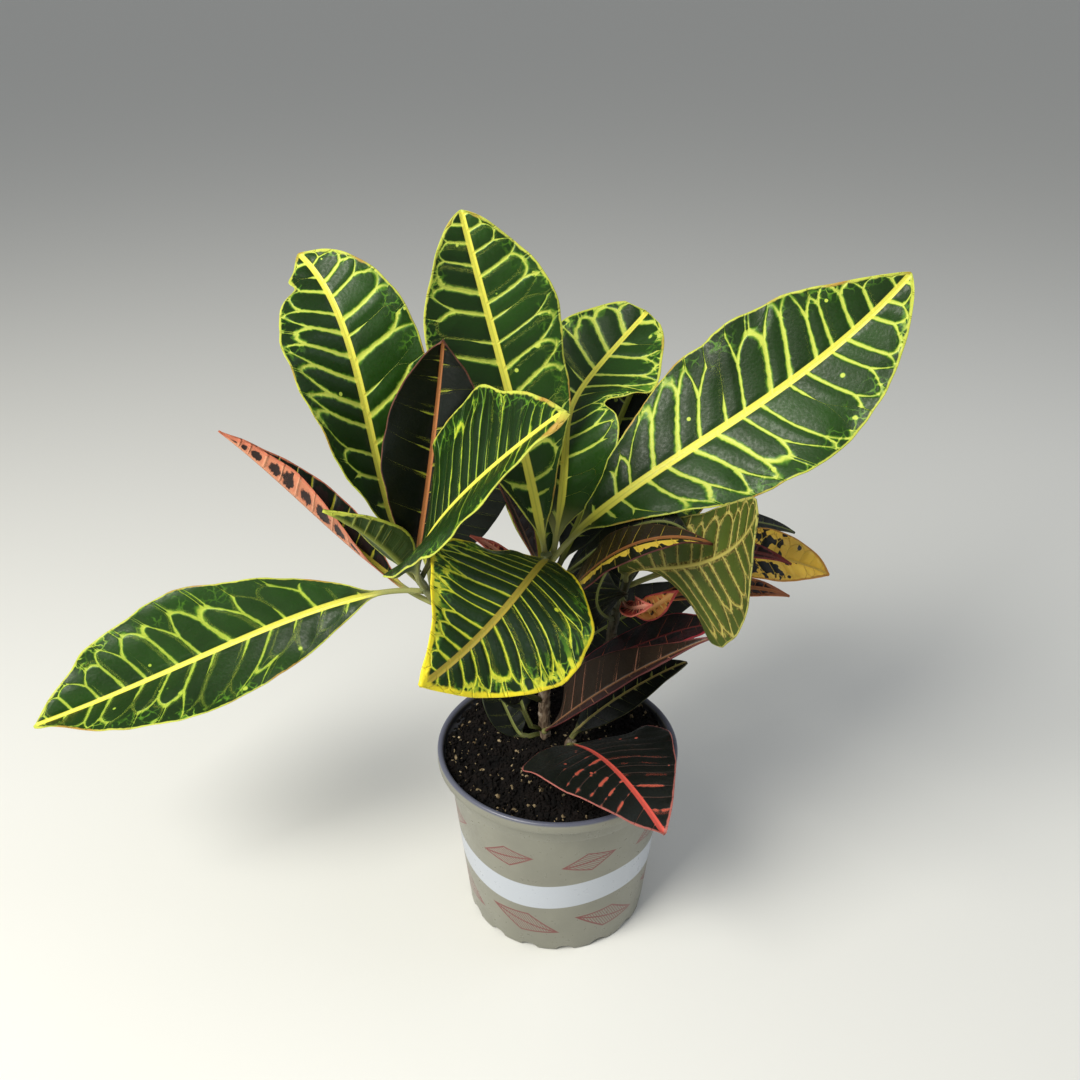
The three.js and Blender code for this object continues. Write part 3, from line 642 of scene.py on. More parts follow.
# %% One function for every leaf finish
SHADE_LOW, SHADE_HIGH = 0.75, 1.3       # light and dark clouds in the blade's colour
PORES = 700.0                           # in a metre: 1.4 mm apart, coarser than real ones so that they show
RELIEF_DEPTH = 0.001                    # metres that the veins seem to stand out
MATT = 0.6                              # roughness of the under side
SPECKLED = (0.0001, 0.06, 0.0, 0.55)    # the vein colour starts where the relief does, and covers half
BLED = (0.02, 0.4, 0.0, 0.5)            # it starts nearer to the vein


def leaf_finish(name, ground, other, glow, vein, rib, edge, under, under_vein, blotch=None, stalk="979a5c",
                gloss=0.42, quilted=0.5, rust=None, speckle=None, numbers=None):
    """ground and other are the blade left and right of the rib, and glow is the halo beside a vein. In most
    finishes other is a little lighter than ground, which is painted light on the right half.
    """
    made, tree = new_material(name)
    add = partial(node, tree)
    parts = tree.nodes.new("ShaderNodeGroup")
    parts.node_tree = pattern
    for label, value in {**PATTERN_START, **(numbers or {})}.items():
        parts.inputs[label].default_value = value
    parts = parts.outputs
    shade = add(RANGE, parts["Cloud"], NOISE_LOW, NOISE_HIGH, SHADE_LOW, SHADE_HIGH)
    spot = add("ShaderNodeTexCoord").node.outputs["Object"]
    pores = add(NOISE, named={"Vector": spot, "Scale": PORES, "Detail": 3.0})
    aged = add(RANGE, parts["Cloud"], 0.56, 0.66, 0.0, 0.75)
    rim = add(MIX, aged, tint(edge), tint(rust or edge), **COLOUR)

    # The upper side: each colour covers the one before it where its mask is 1.
    halo = add(RANGE, parts["Veins"], 0.05, 0.45, **SMOOTH)
    core = add(RANGE, parts["Veins"], 0.34, 0.78, **SMOOTH)
    joined = add("MULTIPLY_ADD", parts["Relief"], 0.25, parts["Rib"])
    joined = add(RANGE, joined, 0.42, 0.62, **SMOOTH)
    crease = add("MULTIPLY", parts["Crease"], 0.2)
    # The right half takes other, in most finishes a little lighter than ground: painted light.
    above = add(MIX, parts["Right"], tint(ground), tint(other), **COLOUR)
    above = add(VECTOR, above, named={"Scale": shade}, operation="SCALE")
    for mask, colour in ((parts["Blotch"], tint(blotch or ground)), (halo, tint(glow)), (core, tint(vein)),
                         (joined, tint(rib)), (crease, tint(glow)), (parts["Edge"], rim)):
        above = add(MIX, mask, above, colour, **COLOUR)

    # The under side, in the same way.
    grain = add(RANGE, pores, 0.46, 0.54)
    grain = add(MIX, grain, tint(under_vein), tint(speckle or under_vein), **COLOUR)
    beside = add(RANGE, parts["Relief"], *(SPECKLED if speckle else BLED), **SMOOTH)
    ridges = add(RANGE, parts["Relief"], 0.4, 0.8, **SMOOTH)
    below = add(VECTOR, tint(under)[:3], named={"Scale": shade}, operation="SCALE")
    for mask, colour in ((beside, grain), (parts["Blotch"], tint(blotch or under)),
                         (ridges, tint(under_vein)), (parts["Edge"], rim)):
        below = add(MIX, mask, below, colour, **COLOUR)
    paint = add(MIX, parts["Upper"], below, above, **COLOUR)
    paint = add(MIX, parts["Stalk"], paint, tint(stalk), **COLOUR)

    # Veins sink in above and stand out below, and the quilt swells the other way.
    height = add("MULTIPLY", parts["Relief"], add(RANGE, parts["Upper"], 0.0, 1.0, 1.0, -0.5))
    swell = add(RANGE, parts["Upper"], 0.0, 1.0, -quilted, quilted)
    height = add("MULTIPLY_ADD", parts["Quilt"], swell, height)
    height = add("MULTIPLY_ADD", pores, 0.17, height)
    bump = add("ShaderNodeBump", named={"Height": height, "Strength": 0.8, "Distance": RELIEF_DEPTH})
    wax = add(RANGE, pores, 0.35, 0.65, gloss - 0.08, gloss + 0.12)
    shader = add("ShaderNodeBsdfPrincipled", named={
        "Base Color": paint, "Roughness": add(MIX, parts["Upper"], MATT, wax), "Normal": bump,
        "IOR": 1.45, "Specular IOR Level": 0.34, "Subsurface Weight": 0.05, "Subsurface Scale": 0.002})
    add("ShaderNodeOutputMaterial", shader)
    return made


print("leaf finishes take", len(PATTERN_START), "numbers")

# %% [markdown]
# ## The leaves' finishes
# A croton colours each leaf by its age. Old leaves are deep green with gold, leaves that grew in shade
# are near black with an orange or coral rib, and young ones are orange and red. Colours are picked from
# the lit parts of the real leaves, and numbers such as the 15 mm between side veins are measured on them.

# %% Finish table
COLOURS = ("ground", "other", "glow", "vein", "rib", "edge", "under", "under_vein")


def colours(*codes):
    """Eight hex colours, in that order."""
    return dict(zip(COLOURS, codes))


# Here and in most finishes below, other is a little lighter than ground: painted light on the right half.
GREEN = dict(colours("19350a", "1f400d", "4f7f1e", "c8d858", "ebe75a", "c2cc50", "33491c", "8f9a44"),
             rust="b0793c")
DARK = dict(colours("0b120b", "0f170f", "2a3a1a", "8a953c", "7e8648", "343c20", "232a1a", "5c5c38"),
             stalk="55592f", gloss=0.5)
FINISHES = {
    "gold on green": (GREEN, {}),
    "gold loops": (dict(GREEN, vein="b6cc48"), {
        "Spacing": 15.0, "Vein": 1.8, "Fork": 0.5, "Dots": 0.12, "Net": 1.1, "Rib foot": 3.4,
        "Short ones": 0.25}),
    "gold net": (GREEN, {
        "Spacing": 13.0, "Vein": 2.0, "Fork": 0.62, "Dots": 0.1, "Net": 1.2, "Blush": 0.35, "Rib foot": 4.0,
        "Short ones": 0.2}),
    "golden blush": (
        colours("142d08", "19370b", "4f7f1e", "d4da3c", "b9a53c", "ecdc2e", "33491c", "8f9a44"), {
        "Spacing": 8.6, "Vein": 1.45, "Thin at foot": 0.6, "Fork": 0.56, "Fork reach": 0.22, "Dots": 0.1,
        "Net": 1.3, "Blush": 0.8, "Rib foot": 3.0, "Rib tip": 2.6, "Margin": 1.6, "Fine": 0.15,
        "Fine spacing": 5.0}),
    "fine gold": (dict(GREEN, ground="132c08", other="18350a", vein="bccc3c"), {
        "Spacing": 9.5, "Vein": 1.05, "Thin at foot": 0.75, "Faint": 0.35, "Bold ones": 0.9, "Fork": 0.7,
        "Fork reach": 0.2, "Dots": 0.05, "Net": 0.8, "Blush": 0.12, "Rib foot": 3.0,
        "Margin": 1.0, "Fine": 0.3, "Fine spacing": 4.2, "Short ones": 0.5}),
    "orange on black": (
        dict(colours("080f0b", "0b140f", "1c2814", "a3ab34", "c9824e", "6d4538", "2a1c18", "8a5a44"),
             quilted=0.3), {
        "Spacing": 21.0, "Vein": 1.3, "Fork": 1.2, "Dots": 0.05, "Net": 0.0, "Rib foot": 2.6,
        "Rib tip": 1.4, "Margin": 0.45, "Short ones": 1.0}),
    "gold on black": (dict(DARK, rib="8f963a"), {
        "Spacing": 16.0, "Vein": 1.2, "Net": 0.1, "Rib foot": 3.0}),
    "near black": (dict(DARK, quilted=0.25), {
        "Spacing": 9.0, "Vein": 0.4, "Dots": 0.03, "Net": 0.0, "Rib foot": 1.6, "Rib tip": 1.1, "Fork": 1.2,
        "Margin": 0.3, "Short ones": 0.8}),
    "coral on black": (
        dict(colours("0d110c", "10150f", "4e3a32", "d0604a", "d8584a", "a9635a", "3a2420", "8a4a3c"),
             gloss=0.5, quilted=0.15), {
        "Spacing": 8.5, "Vein": 0.6, "Bold ones": 2.6, "Faint": 0.62, "Fork": 1.2, "Dots": 0.25, "Net": 0.0,
        "Rib foot": 1.7, "Rib tip": 3.0, "Margin": 0.6, "Curl": 0.006, "Short ones": 0.15}),
    "salmon below": (
        dict(colours("101a10", "131d12", "2c3a14", "c8c23a", "cfc04a", "c9775a", "cb8262", "dd9a78"),
             blotch="2a1c1a"), {
        "Islands": 1.0, "Vein": 1.6, "Spacing": 12.0, "Net": 0.0, "Fork": 1.2, "Short ones": 0.0}),
    "thin brown": (
        colours("241812", "2c1c16", "3c2a1c", "6a4a34", "7c583c", "7d4a3c", "3c241c", "7a5040"), {
        "Spacing": 7.0, "Vein": 0.6, "Rib foot": 2.0, "Rib tip": 1.4, "Net": 0.0}),
    "arched brown": (
        colours("2d2412", "080b07", "42331a", "dcbe44", "9a6438", "63332f", "30241a", "6a5038"), {
        "Spacing": 10.0, "Vein": 0.35, "Rib foot": 1.7, "Rib tip": 2.0, "Net": 0.0, "Fork": 1.2,
        "Margin": 0.35, "Dots": 0.05, "Streak": 1.0}),
    "olive below": (
        dict(colours("2e3c18", "2e3c18", "5f6a2c", "9aa044", "b0b352", "a8a654", "3f4d17", "aca252"),
             speckle="5c4018"), {
        "Spacing": 9.5, "Vein": 1.35, "Rib foot": 2.4, "Rib tip": 1.6, "Margin": 0.6,
        "Fork reach": 0.18, "Net": 0.3, "Short ones": 0.0}),
    "yellow and black": (
        dict(colours("f4c748", "f4c748", "e6b844", "f4d05c", "dcb850", "c98f38", "7a5a24", "b58c42"),
             blotch="11140c"), {
        "Spacing": 9.0, "Vein": 0.4, "Rib foot": 1.6, "Rib tip": 1.2, "Net": 0.0, "Blotch size": 0.2,
        "Blotch share": 0.86, "Blotch drift": 0.62}),
    "dark red": (colours("240e0c", "2c1210", "401814", "5c2a24", "6c3028", "7a2c28", "341412", "6a2c28"), {
        "Net": 0.0, "Rib foot": 1.6}),
    "orange end": (
        colours("1c120c", "241610", "4a2a14", "c88044", "c88044", "b87040", "3c2418", "8c5834"), {
        "Net": 0.5, "Blush": 1.4, "Margin": 1.2, "Spacing": 7.0, "Vein": 0.8}),
    "spotted purple": (
        dict(colours("1e0c0e", "2a1012", "401a1c", "a85434", "6a2828", "9a2c38", "2c1418", "5a2a2c"),
             blotch="0c0a0a", gloss=0.48, quilted=0.2), {
        "Blotch size": 0.16, "Blotch share": 0.5, "Dots": 0.1, "Spacing": 12.0, "Vein": 0.35,
        "Rib foot": 1.4, "Rib tip": 1.0, "Net": 0.0, "Fork": 1.2, "Margin": 0.6, "Short ones": 0.6}),
    "plum": (
        dict(colours("2a2018", "352423", "44302a", "a8745c", "8a6344", "6a3634", "261614", "5a3830"),
             gloss=0.46, quilted=0.25), {
        "Spacing": 12.0, "Vein": 0.55, "Rib foot": 1.4, "Rib tip": 1.1, "Net": 0.25, "Margin": 0.4,
        "Dots": 0.03, "Fork": 1.2, "Short ones": 0.5}),
    "ticked green": (
        dict(colours("0b120a", "0e160a", "2c3c16", "bcc46c", "d2c274", "3a3c24", "222818", "6a6a40"),
             quilted=0.25), {
        "Spacing": 9.0, "Vein": 1.0, "Fork": 1.2, "Rib foot": 1.9, "Rib tip": 1.3, "Net": 0.0, "Dots": 0.02,
        "Margin": 0.35, "Short ones": 1.0}),
    "young orange": (
        dict(colours("e28a4c", "e89a50", "f0b45c", "f4cc6c", "f0b46c", "c8504c", "c06a3c", "e0a060"),
             blotch="3c1c10"), {
        "Blotch size": 0.3, "Blotch share": 0.38, "Spacing": 5.0, "Vein": 1.0, "Rib foot": 1.6}),
    "young red": (
        dict(colours("8c2a26", "a8403a", "c85c50", "e8a078", "f0a48c", "e07868", "7c2a28", "c06a58"),
             blotch="240c0c"), {
        "Blotch size": 0.35, "Blotch share": 0.42, "Spacing": 4.0, "Vein": 0.9, "Rib foot": 1.2}),
}
finishes = {name: leaf_finish("waxy leaf, " + name, **looks, numbers=numbers)
            for name, (looks, numbers) in FINISHES.items()}
print(len(finishes), "leaf finishes")

# %% [markdown]
# ## Thirty-eight leaves
# Each row says which stem a leaf grows on and at what height, the three bends of its midrib, its widest
# half width and where that is, the way its upper side faces, and its fold. They are the numbers of the
# solid model, in millimetres, so that each finished leaf lies on the solid that it stands for.

# %% Leaf table
LEAVES = {
    "upper_left": dict(stem="left", at=193, stalk=0.12,
        line=[(-99, 25, 242), (-90, 37, 327), (-131, 74, 349)], half=35, widest=0.61, full=(1.06, 0.8),
        waist=(0.87, 0.3, 0.03, 0), face=[(0.78, -0.5, 0.37), (0.21, -0.91, 0.35)], fold=(14, 14),
        finish="gold on green"),
    "top_centre": dict(stem="centre", at=208, stalk=0.05,
        line=[(-15, 28, 260), (-33, 25, 326), (-46, 34, 379)], half=33, widest=0.65, full=(1.25, 0.7),
        face=[(0.15, -0.93, 0.33), (0.16, -0.76, 0.63)], fold=(9, 12), finish="gold on green"),
    "waisted": dict(stem="centre", at=207, stalk=0.05, line=[(13, 37, 296), (-15, 51, 260), (45, 92, 315)],
        half=40, widest=0.7, full=(0.6, 0.4), waist=(0.56, 0.5, 0.13, 1),
        face=[(-0.26, -0.96, 0.1), (-0.65, -0.74, 0.19)], fold=(9, 11), finish="gold net"),
    "big_right": dict(stem="centre", at=210, stalk=0.1,
        line=[(24, -6, 267), (111, 22, 289), (155, 18, 356)], half=40, widest=0.6, full=(1.2, 0.76),
        face=[(-0.25, -0.57, 0.79), (0.06, -0.86, 0.5)], fold=(10, 8), finish="gold on green"),
    "front": dict(stem="centre", at=210, stalk=0.07,
        line=[(-7, -29, 241), (-21, -70, 226), (-55, -114, 224)], half=41, widest=0.55, full=(1.2, 1),
        face=[(0.08, -0.35, 0.93), (0.19, -0.95, 0.27)], fold=(2, 2), finish="golden blush"),
    "long_left": dict(stem="left", at=181, stalk=0.14,
        line=[(-117, 26, 190), (-200, 10, 140), (-271, -24, 129)], half=38, widest=0.62, full=(1.2, 0.83),
        face=[(0.22, -0.88, 0.42), (-0.11, -0.5, 0.86)], fold=(20, 33), finish="gold loops"),
    "folded_pink": dict(stem="left", at=171, stalk=0.16,
        line=[(-102, 42, 180), (-138, 44, 234), (-173, 40, 268)], half=16, widest=0.5, full=(1.1, 1),
        face=[(0, -0.3, 0.95), (0, 0.3, 0.95)], fold=(45, 60), finish="salmon below"),
    "small_curled": dict(stem="left", at=190, stalk=0.12,
        line=[(-85, 11, 212), (-87, -3, 231), (-112, -11, 249)], half=11, widest=0.42, full=(0.8, 1),
        halves=(1.3, 0.8), face=[(0, 0.8, 0.5)] * 2, fold=(25, 35), finish="fine gold"),
    "raised_front": dict(stem="left", at=184, stalk=0.12,
        line=[(-80, -24, 233), (-36, -22, 275), (2, -77, 327)], half=43, widest=0.6, full=(0.95, 1.05),
        waist=(0.8, 0.12, 0.05, 0), face=[(-0.2, -0.25, 0.95), (-0.39, -0.52, 0.76)], fold=(15, 21),
        finish="fine gold"),
    "black_orange": dict(stem="left", at=197, stalk=0.09,
        line=[(-68, 12, 228), (-58, 20, 295), (-52, -4, 331)], half=25, widest=0.51, full=(1.02, 0.73),
        face=[(0.32, -0.88, 0.35), (0.09, -0.82, 0.56)], fold=(16, 16), finish="orange on black"),
    "dark_behind": dict(stem="left", at=188, stalk=0.12,
        line=[(-66, 44, 200), (-45, 52, 225), (-24, 50, 262)], half=17, widest=0.55, full=(1, 0.8),
        face=[(0.3, -0.8, 0.5)] * 2, fold=(8, 8), finish="near black"),
    "thin_brown": dict(stem="centre", at=200, stalk=0.12,
        line=[(-18, 20, 215), (-22, 30, 232), (-38, 44, 250)], half=10, widest=0.5, full=(1, 0.9),
        face=[(0.9, -0.3, 0.2)] * 2, fold=(15, 15), finish="thin brown"),
    "arched_brown": dict(stem="centre", at=182, stalk=0.14,
        line=[(10, -22, 217), (28, -36, 261), (70, -30, 244)], half=17, widest=0.42, full=(0.8, 0.9),
        halves=(0.9, 0.79), face=[(-0.17, -0.36, 0.92), (0, -0.12, 0.99)], fold=(7, 1),
        finish="arched brown"),
    "olive_under": dict(stem="right", at=192, stalk=0.08,
        line=[(29, -2, 224), (80, -22, 213), (84, -52, 270)], half=23.5, widest=0.6, full=(0.94, 0.3),
        halves=(1.68, 1), steady=0.55, face=[(-0.48, 0.87, -0.06), (0.19, 0.56, -0.81)], fold=(0, 0),
        finish="olive below"),
    "yellow_spotted": dict(stem="right", at=187, stalk=0.1,
        line=[(80, 34, 205), (115, 42, 202), (144, 37, 189)], half=16, widest=0.62, full=(1.15, 0.86),
        face=[(0, -0.5, 0.87), (0, -0.55, 0.83)], fold=(14, 14), finish="yellow and black"),
    "far_green": dict(stem="right", at=199, stalk=0.1, line=[(66, 52, 216), (100, 58, 215), (129, 62, 201)],
        half=8, widest=0.6, full=(1, 0.9), face=[(0, -0.2, 1)] * 2, fold=(12, 12), finish="near black"),
    "red_spike": dict(stem="right", at=203, stalk=0.1, line=[(70, 26, 210), (95, 22, 216), (119, 20, 205)],
        half=7, widest=0.5, full=(1, 1), face=[(0.2, -0.3, 0.9)] * 2, fold=(20, 20), finish="dark red"),
    "orange_end": dict(stem="right", at=172, stalk=0.1,
        line=[(70, 40, 176), (100, 44, 182), (126, 44, 171)], half=9, widest=0.55, full=(1, 1),
        face=[(0, -0.2, 1)] * 2, fold=(10, 10), finish="orange end"),
    "purple_upper": dict(stem="centre", at=138, stalk=0.1, line=[(32, 20, 145), (57, 8, 174), (80, 4, 178)],
        half=16, widest=0.52, full=(0.8, 0.68), face=[(0, -0.1, 1)] * 2, fold=(6, 4),
        finish="spotted purple"),
    "purple_lower": dict(stem="centre", at=104, stalk=0.13,
        line=[(-8, -30, 130), (17, -13, 153), (77, -19, 186)], half=15, widest=0.42, full=(0.85, 1.05),
        halves=(1.5, 0.42), face=[(-0.1, -0.2, 0.97), (-0.07, -0.14, 0.99)], fold=(9, 7), finish="plum"),
    "dark_rib": dict(stem="front", at=104, stalk=0.1, line=[(12, 6, 114), (44, 13, 136), (69, 15, 147)],
        half=18, widest=0.51, full=(1.1, 0.8), face=[(0, 0, 1), (0, -0.07, 1)], fold=(10, 10),
        finish="ticked green"),
    "black_coral": dict(stem="front", at=103, stalk=0.09,
        line=[(13, -18, 116), (26, -42, 134), (51, -80, 114)], half=41, widest=0.42, full=(1.14, 0.85),
        face=[(0.1, -0.23, 0.97), (0.42, -0.53, 0.74)], fold=(5, 5), finish="coral on black"),
    "dark_at_soil": dict(stem="centre", at=100.5, stalk=0.3,
        line=[(-26, 6, 97.6), (-20, 10, 104), (-44, 30, 140)], half=11, widest=0.6, full=(1, 0.9),
        face=[(0.1, -0.8, 0.6)] * 2, fold=(10, 10), finish="near black"),
    "young_orange": dict(stem="right", at=176, stalk=0.1, line=[(46, 14, 174), (50, 14, 184), (61, 8, 196)],
        half=7, widest=0.5, full=(1, 1), face=[(-0.3, -0.8, 0.5)] * 2, fold=(15, 15), crinkle=2.5,
        crinkles=110, finish="young orange"),
    "young_red": dict(stem="right", at=180, stalk=0.1, line=[(35, 4, 184), (38, -6, 194), (46, -11, 199)],
        half=6, widest=0.5, full=(1, 1), face=[(0, -0.7, 0.7)] * 2, fold=(20, 20), crinkle=2.8,
        crinkles=150, finish="young red"),
    "dark_between": dict(stem="centre", at=198, stalk=0.1,
        line=[(12, 34, 222), (24, 66, 250), (44, 80, 292)], half=24, widest=0.6, full=(1, 0.8),
        face=[(0, -0.9, 0.4)] * 2, fold=(8, 8), finish="gold on black"),
    "young_crimson": dict(stem="centre", at=190, stalk=0.1,
        line=[(-20, 16, 204), (-32, 22, 212), (-46, 24, 218)], half=4, widest=0.5, full=(1, 1),
        face=[(0.3, -0.6, 0.7)] * 2, fold=(20, 20), crinkle=2.5, crinkles=150, finish="young red"),
    "low_left": dict(stem="centre", at=104.5, stalk=0.5,
        line=[(-18, 4, 106), (-17, 8, 122), (-32, 26, 152)], half=12, widest=0.5, full=(1, 0.9),
        face=[(0.2, -0.8, 0.5), (0.1, -0.6, 0.8)], fold=(8, 8), finish="near black"),
    "low_front": dict(stem="centre", at=124, stalk=0.3,
        line=[(-18, 2, 134), (-26, -4, 146), (-40, -12, 160)], half=12, widest=0.5, full=(1, 0.9),
        face=[(0.2, -0.6, 0.8), (0.1, -0.5, 0.85)], fold=(8, 8), finish="near black"),
    "inner_front": dict(stem="right", at=164, stalk=0.1, line=[(20, 18, 174), (15, 8, 190), (24, 2, 211)],
        half=17, widest=0.5, full=(1, 0.9), face=[(0.2, -0.9, 0.4)] * 2, fold=(8, 8), finish="near black"),
    "inner_low": dict(stem="centre", at=128, stalk=0.12, line=[(2, 46, 136), (30, 63, 146), (90, 55, 174)],
        half=19, widest=0.5, full=(1, 0.9), face=[(0, -1, 0.25)] * 2, fold=(8, 8), finish="near black"),
    "dark_over": dict(stem="centre", at=196, stalk=0.12,
        line=[(18, -4, 226), (42, -10, 257), (60, -14, 241)], half=10, widest=0.6, full=(1, 0.9),
        face=[(-0.1, -0.5, 0.85)] * 2, fold=(8, 8), finish="near black"),
    "back_centre": dict(stem="centre", at=190, stalk=0.1,
        line=[(-14, 40, 214), (-12, 70, 234), (-14, 96, 246)], half=20, widest=0.6, full=(1.1, 0.8),
        face=[(0, -0.6, 0.8)] * 2, fold=(10, 10), finish="gold on green"),
    "back_right": dict(stem="right", at=180, stalk=0.1, line=[(36, 60, 202), (64, 86, 222), (90, 98, 224)],
        half=24, widest=0.6, full=(1.1, 0.8), face=[(-0.2, -0.5, 0.85), (-0.1, -0.3, 0.95)], fold=(10, 10),
        finish="gold loops"),
    "back_left": dict(stem="left", at=176, stalk=0.12,
        line=[(-76, 54, 206), (-74, 78, 234), (-66, 90, 250)], half=22, widest=0.6, full=(1.1, 0.8),
        face=[(0, -0.6, 0.8), (0, -0.5, 0.85)], fold=(10, 10), finish="gold net"),
    "back_low_left": dict(stem="left", at=140, stalk=0.14,
        line=[(-48, 66, 150), (-44, 84, 152), (-34, 100, 138)], half=20, widest=0.55, full=(1.1, 0.9),
        face=[(0, -0.2, 1), (0, 0.2, 1)], fold=(10, 10), finish="orange on black"),
    "back_low_right": dict(stem="right", at=115, stalk=0.12,
        line=[(47, 64, 119), (64, 86, 124), (78, 100, 112)], half=21, widest=0.55, full=(1.1, 0.9),
        face=[(-0.1, -0.3, 0.95), (0, 0.1, 1)], fold=(10, 10), finish="plum"),
    "back_middle": dict(stem="centre", at=165, stalk=0.12,
        line=[(6, 44, 176), (26, 62, 190), (56, 74, 184)], half=17, widest=0.6, full=(1.1, 0.9),
        face=[(-0.1, -0.9, 0.4)] * 2, fold=(10, 10), finish="near black"),
}
print(len(LEAVES), "leaves")

# %% [markdown]
# The stalk starts at the side of the stem that looks to the leaf's first bend, half a millimetre inside
# the bark, so that no gap shows. A leaf gets a ring about every 2.5 mm, which is fine enough for a clean
# outline, and small leaves get fewer sides. Every blade is a little wavy. Young leaves have just unfolded,
# so they are crinkled more, and in finer waves.

# %% Growing the leaves
INTO_STEM = 0.5                         # mm
NO_WAIST = (0.5, 0.0, 0.1, 1.0)
RIPPLE, MOST_RIPPLE = 0.00034, 0.014    # metres that a blade waves for each mm of half width, at most
WAVES = 38.0                            # in a metre, so one every 26 mm
RING_STEP, FEWEST_RINGS = 2.5, 24
LARGE_LEAF = 14                         # mm of half width above which a leaf gets more sides
SIDES_LARGE, SIDES_SMALL = 44, 28
SEED_STEP = 1.37                        # so that each leaf has noise of its own


def foot_on_stem(row):
    """Where a leaf's stalk starts, just inside the bark."""
    middle, along, radius = stem_at(STEMS[row["stem"]], row["at"])
    toward = np.array(row["line"][0]) - middle
    toward -= along * toward.dot(along)
    return middle + toward / np.linalg.norm(toward) * (radius - INTO_STEM)


def midrib_length(points):
    """The length of a cubic curve, measured in short straight steps."""
    steps = [bezier(points, t) for t in np.linspace(0, 1, 25)]
    return sum(np.linalg.norm(b - a) for a, b in zip(steps, steps[1:]))


leaf_pieces = {}
for count, (name, row) in enumerate(LEAVES.items()):
    points = [foot_on_stem(row), *row["line"]]
    length = midrib_length(points) * (1 - row["stalk"])
    ripple = row.get("crinkle", 1.0) * min(MOST_RIPPLE, row["half"] * RIPPLE)
    values = {"Stalk": row["stalk"], "Half width": row["half"] * MM, "Widest": row["widest"],
              "Steady": row.get("steady", 0.0), "Length": length * MM, "Ripple": ripple,
              "Ripple scale": row.get("crinkles", WAVES), "Seed": count * SEED_STEP}
    for labels, numbers in ((("Foot fullness", "Tip fullness"), row["full"]),
                            (("Waist place", "Waist depth", "Waist reach", "Waist on right"),
                             row.get("waist", NO_WAIST)),
                            (("Left half", "Right half"), row.get("halves", (1.0, 1.0))),
                            (("Foot fold", "Tip fold"), map(math.radians, row["fold"]))):
        values.update(zip(labels, numbers))
    values = {label: float(value) for label, value in values.items()}
    for label, point in zip(("Foot", "Bend 1", "Bend 2", "Tip"), points):
        values[label] = [float(c) * MM for c in point]
    values["Foot face"], values["Tip face"] = [[float(c) for c in face] for face in row["face"]]
    values["Rings"] = int(max(FEWEST_RINGS, length / RING_STEP))
    values["Sides"] = SIDES_LARGE if row["half"] > LARGE_LEAF else SIDES_SMALL
    values["Finish"] = finishes[row["finish"]]
    leaf_pieces[name] = run_tree(leaf_tree, "croton_leaf_" + name, values)
faces = sum(len(piece.data.polygons) for piece in leaf_pieces.values())
print(len(leaf_pieces), "leaves grown,", faces, "faces")

# %% [markdown]
# ## Woody stems
# A croton cutting is woody and grey-brown at the foot and green where it still grows, with a raised
# scar where each old leaf fell. A stem could be a plain tube, but its scars and its uneven girth catch
# the light. So Geometry Nodes run a tube along the stem's points, thin it to the top, push its skin in
# and out with noise, and set a scar at each point of a second, coarser sampling of the same path.
#
# Bark is rough and dull and drawn out along the stem, with paler corky patches, and it turns smoother and
# green where it is young. The side shoot under the tangle of leaves stands in deep shade, so its bark is
# painted darker, as painted shade.

# %% Bark
WOOD_TO_GREEN = (0.165, 0.215)     # metres above the table between which the bark turns green
STREAKS, CORK = 900.0, 180.0       # in a metre: streaks 1.1 mm wide, and corky patches of 5.6 mm
DRAWN_OUT = 0.22                   # makes the streaks nearly five times as long as wide

barks = []
for name, shade in (("croton bark, woody below and green above", 1.0),
                    ("croton bark, side shoot in painted shade", 0.3)):
    bark, wood = new_material(name)
    add = partial(node, wood)
    place = add("ShaderNodeTexCoord").node.outputs["Object"]
    height = add(SEPARATE, place).node.outputs["Z"]
    drawn = add(VECTOR, place, (1.0, 1.0, DRAWN_OUT), operation="MULTIPLY")
    streaks = add(NOISE, named={"Vector": drawn, "Scale": STREAKS, "Detail": 5.0})
    patches = add(NOISE, named={"Vector": place, "Scale": CORK, "Detail": 3.0})
    cork = add(RANGE, patches, 0.52, 0.62)
    turn = add("MULTIPLY_ADD", patches, 0.05, height)
    young = add(RANGE, turn, *WOOD_TO_GREEN)
    green = add(MIX, streaks, tint("5c6638"), tint("858c58"), **COLOUR)
    streaked = add(RANGE, streaks, 0.35, 0.65)
    colour = add(MIX, streaked, tint("4a3a2c"), tint("8f7c66"), **COLOUR)
    for mask, more in ((cork, tint("a39684")), (young, green)):
        colour = add(MIX, mask, colour, more, **COLOUR)
    # For the side shoot this darkens the bark colours to 0.3: painted shade.
    colour = add(VECTOR, colour, named={"Scale": shade}, operation="SCALE")
    rough = add(RANGE, turn, *WOOD_TO_GREEN, 0.85, 0.45)
    relief = add("ShaderNodeBump", named={"Height": streaks, "Strength": 0.7, "Distance": 0.0006})
    shader = add("ShaderNodeBsdfPrincipled", named={
        "Base Color": colour, "Roughness": rough, "Normal": relief, "IOR": 1.45})
    add("ShaderNodeOutputMaterial", shader)
    barks.append(bark)
print("bark:", len(wood.nodes), "nodes in each of", len(barks))

# %% Stem tree
RING_EVERY = 0.0012                # metres between the rings of a stem
STEM_SIDES = 24
BUMPS = 190.0                      # in a metre: hollows and swellings 5 mm wide
HOLLOW, SWELLING = -0.0004, 0.0006
SCAR = 0.0011                      # radius of a leaf scar
SCAR_OUT = 0.0026                  # how far from the stem's middle line it sits
SCAR_TURN = 2.4                    # radians from one scar to the next, the golden angle of most plants
THINS_FROM = 0.25                  # share of the stem that keeps its full girth

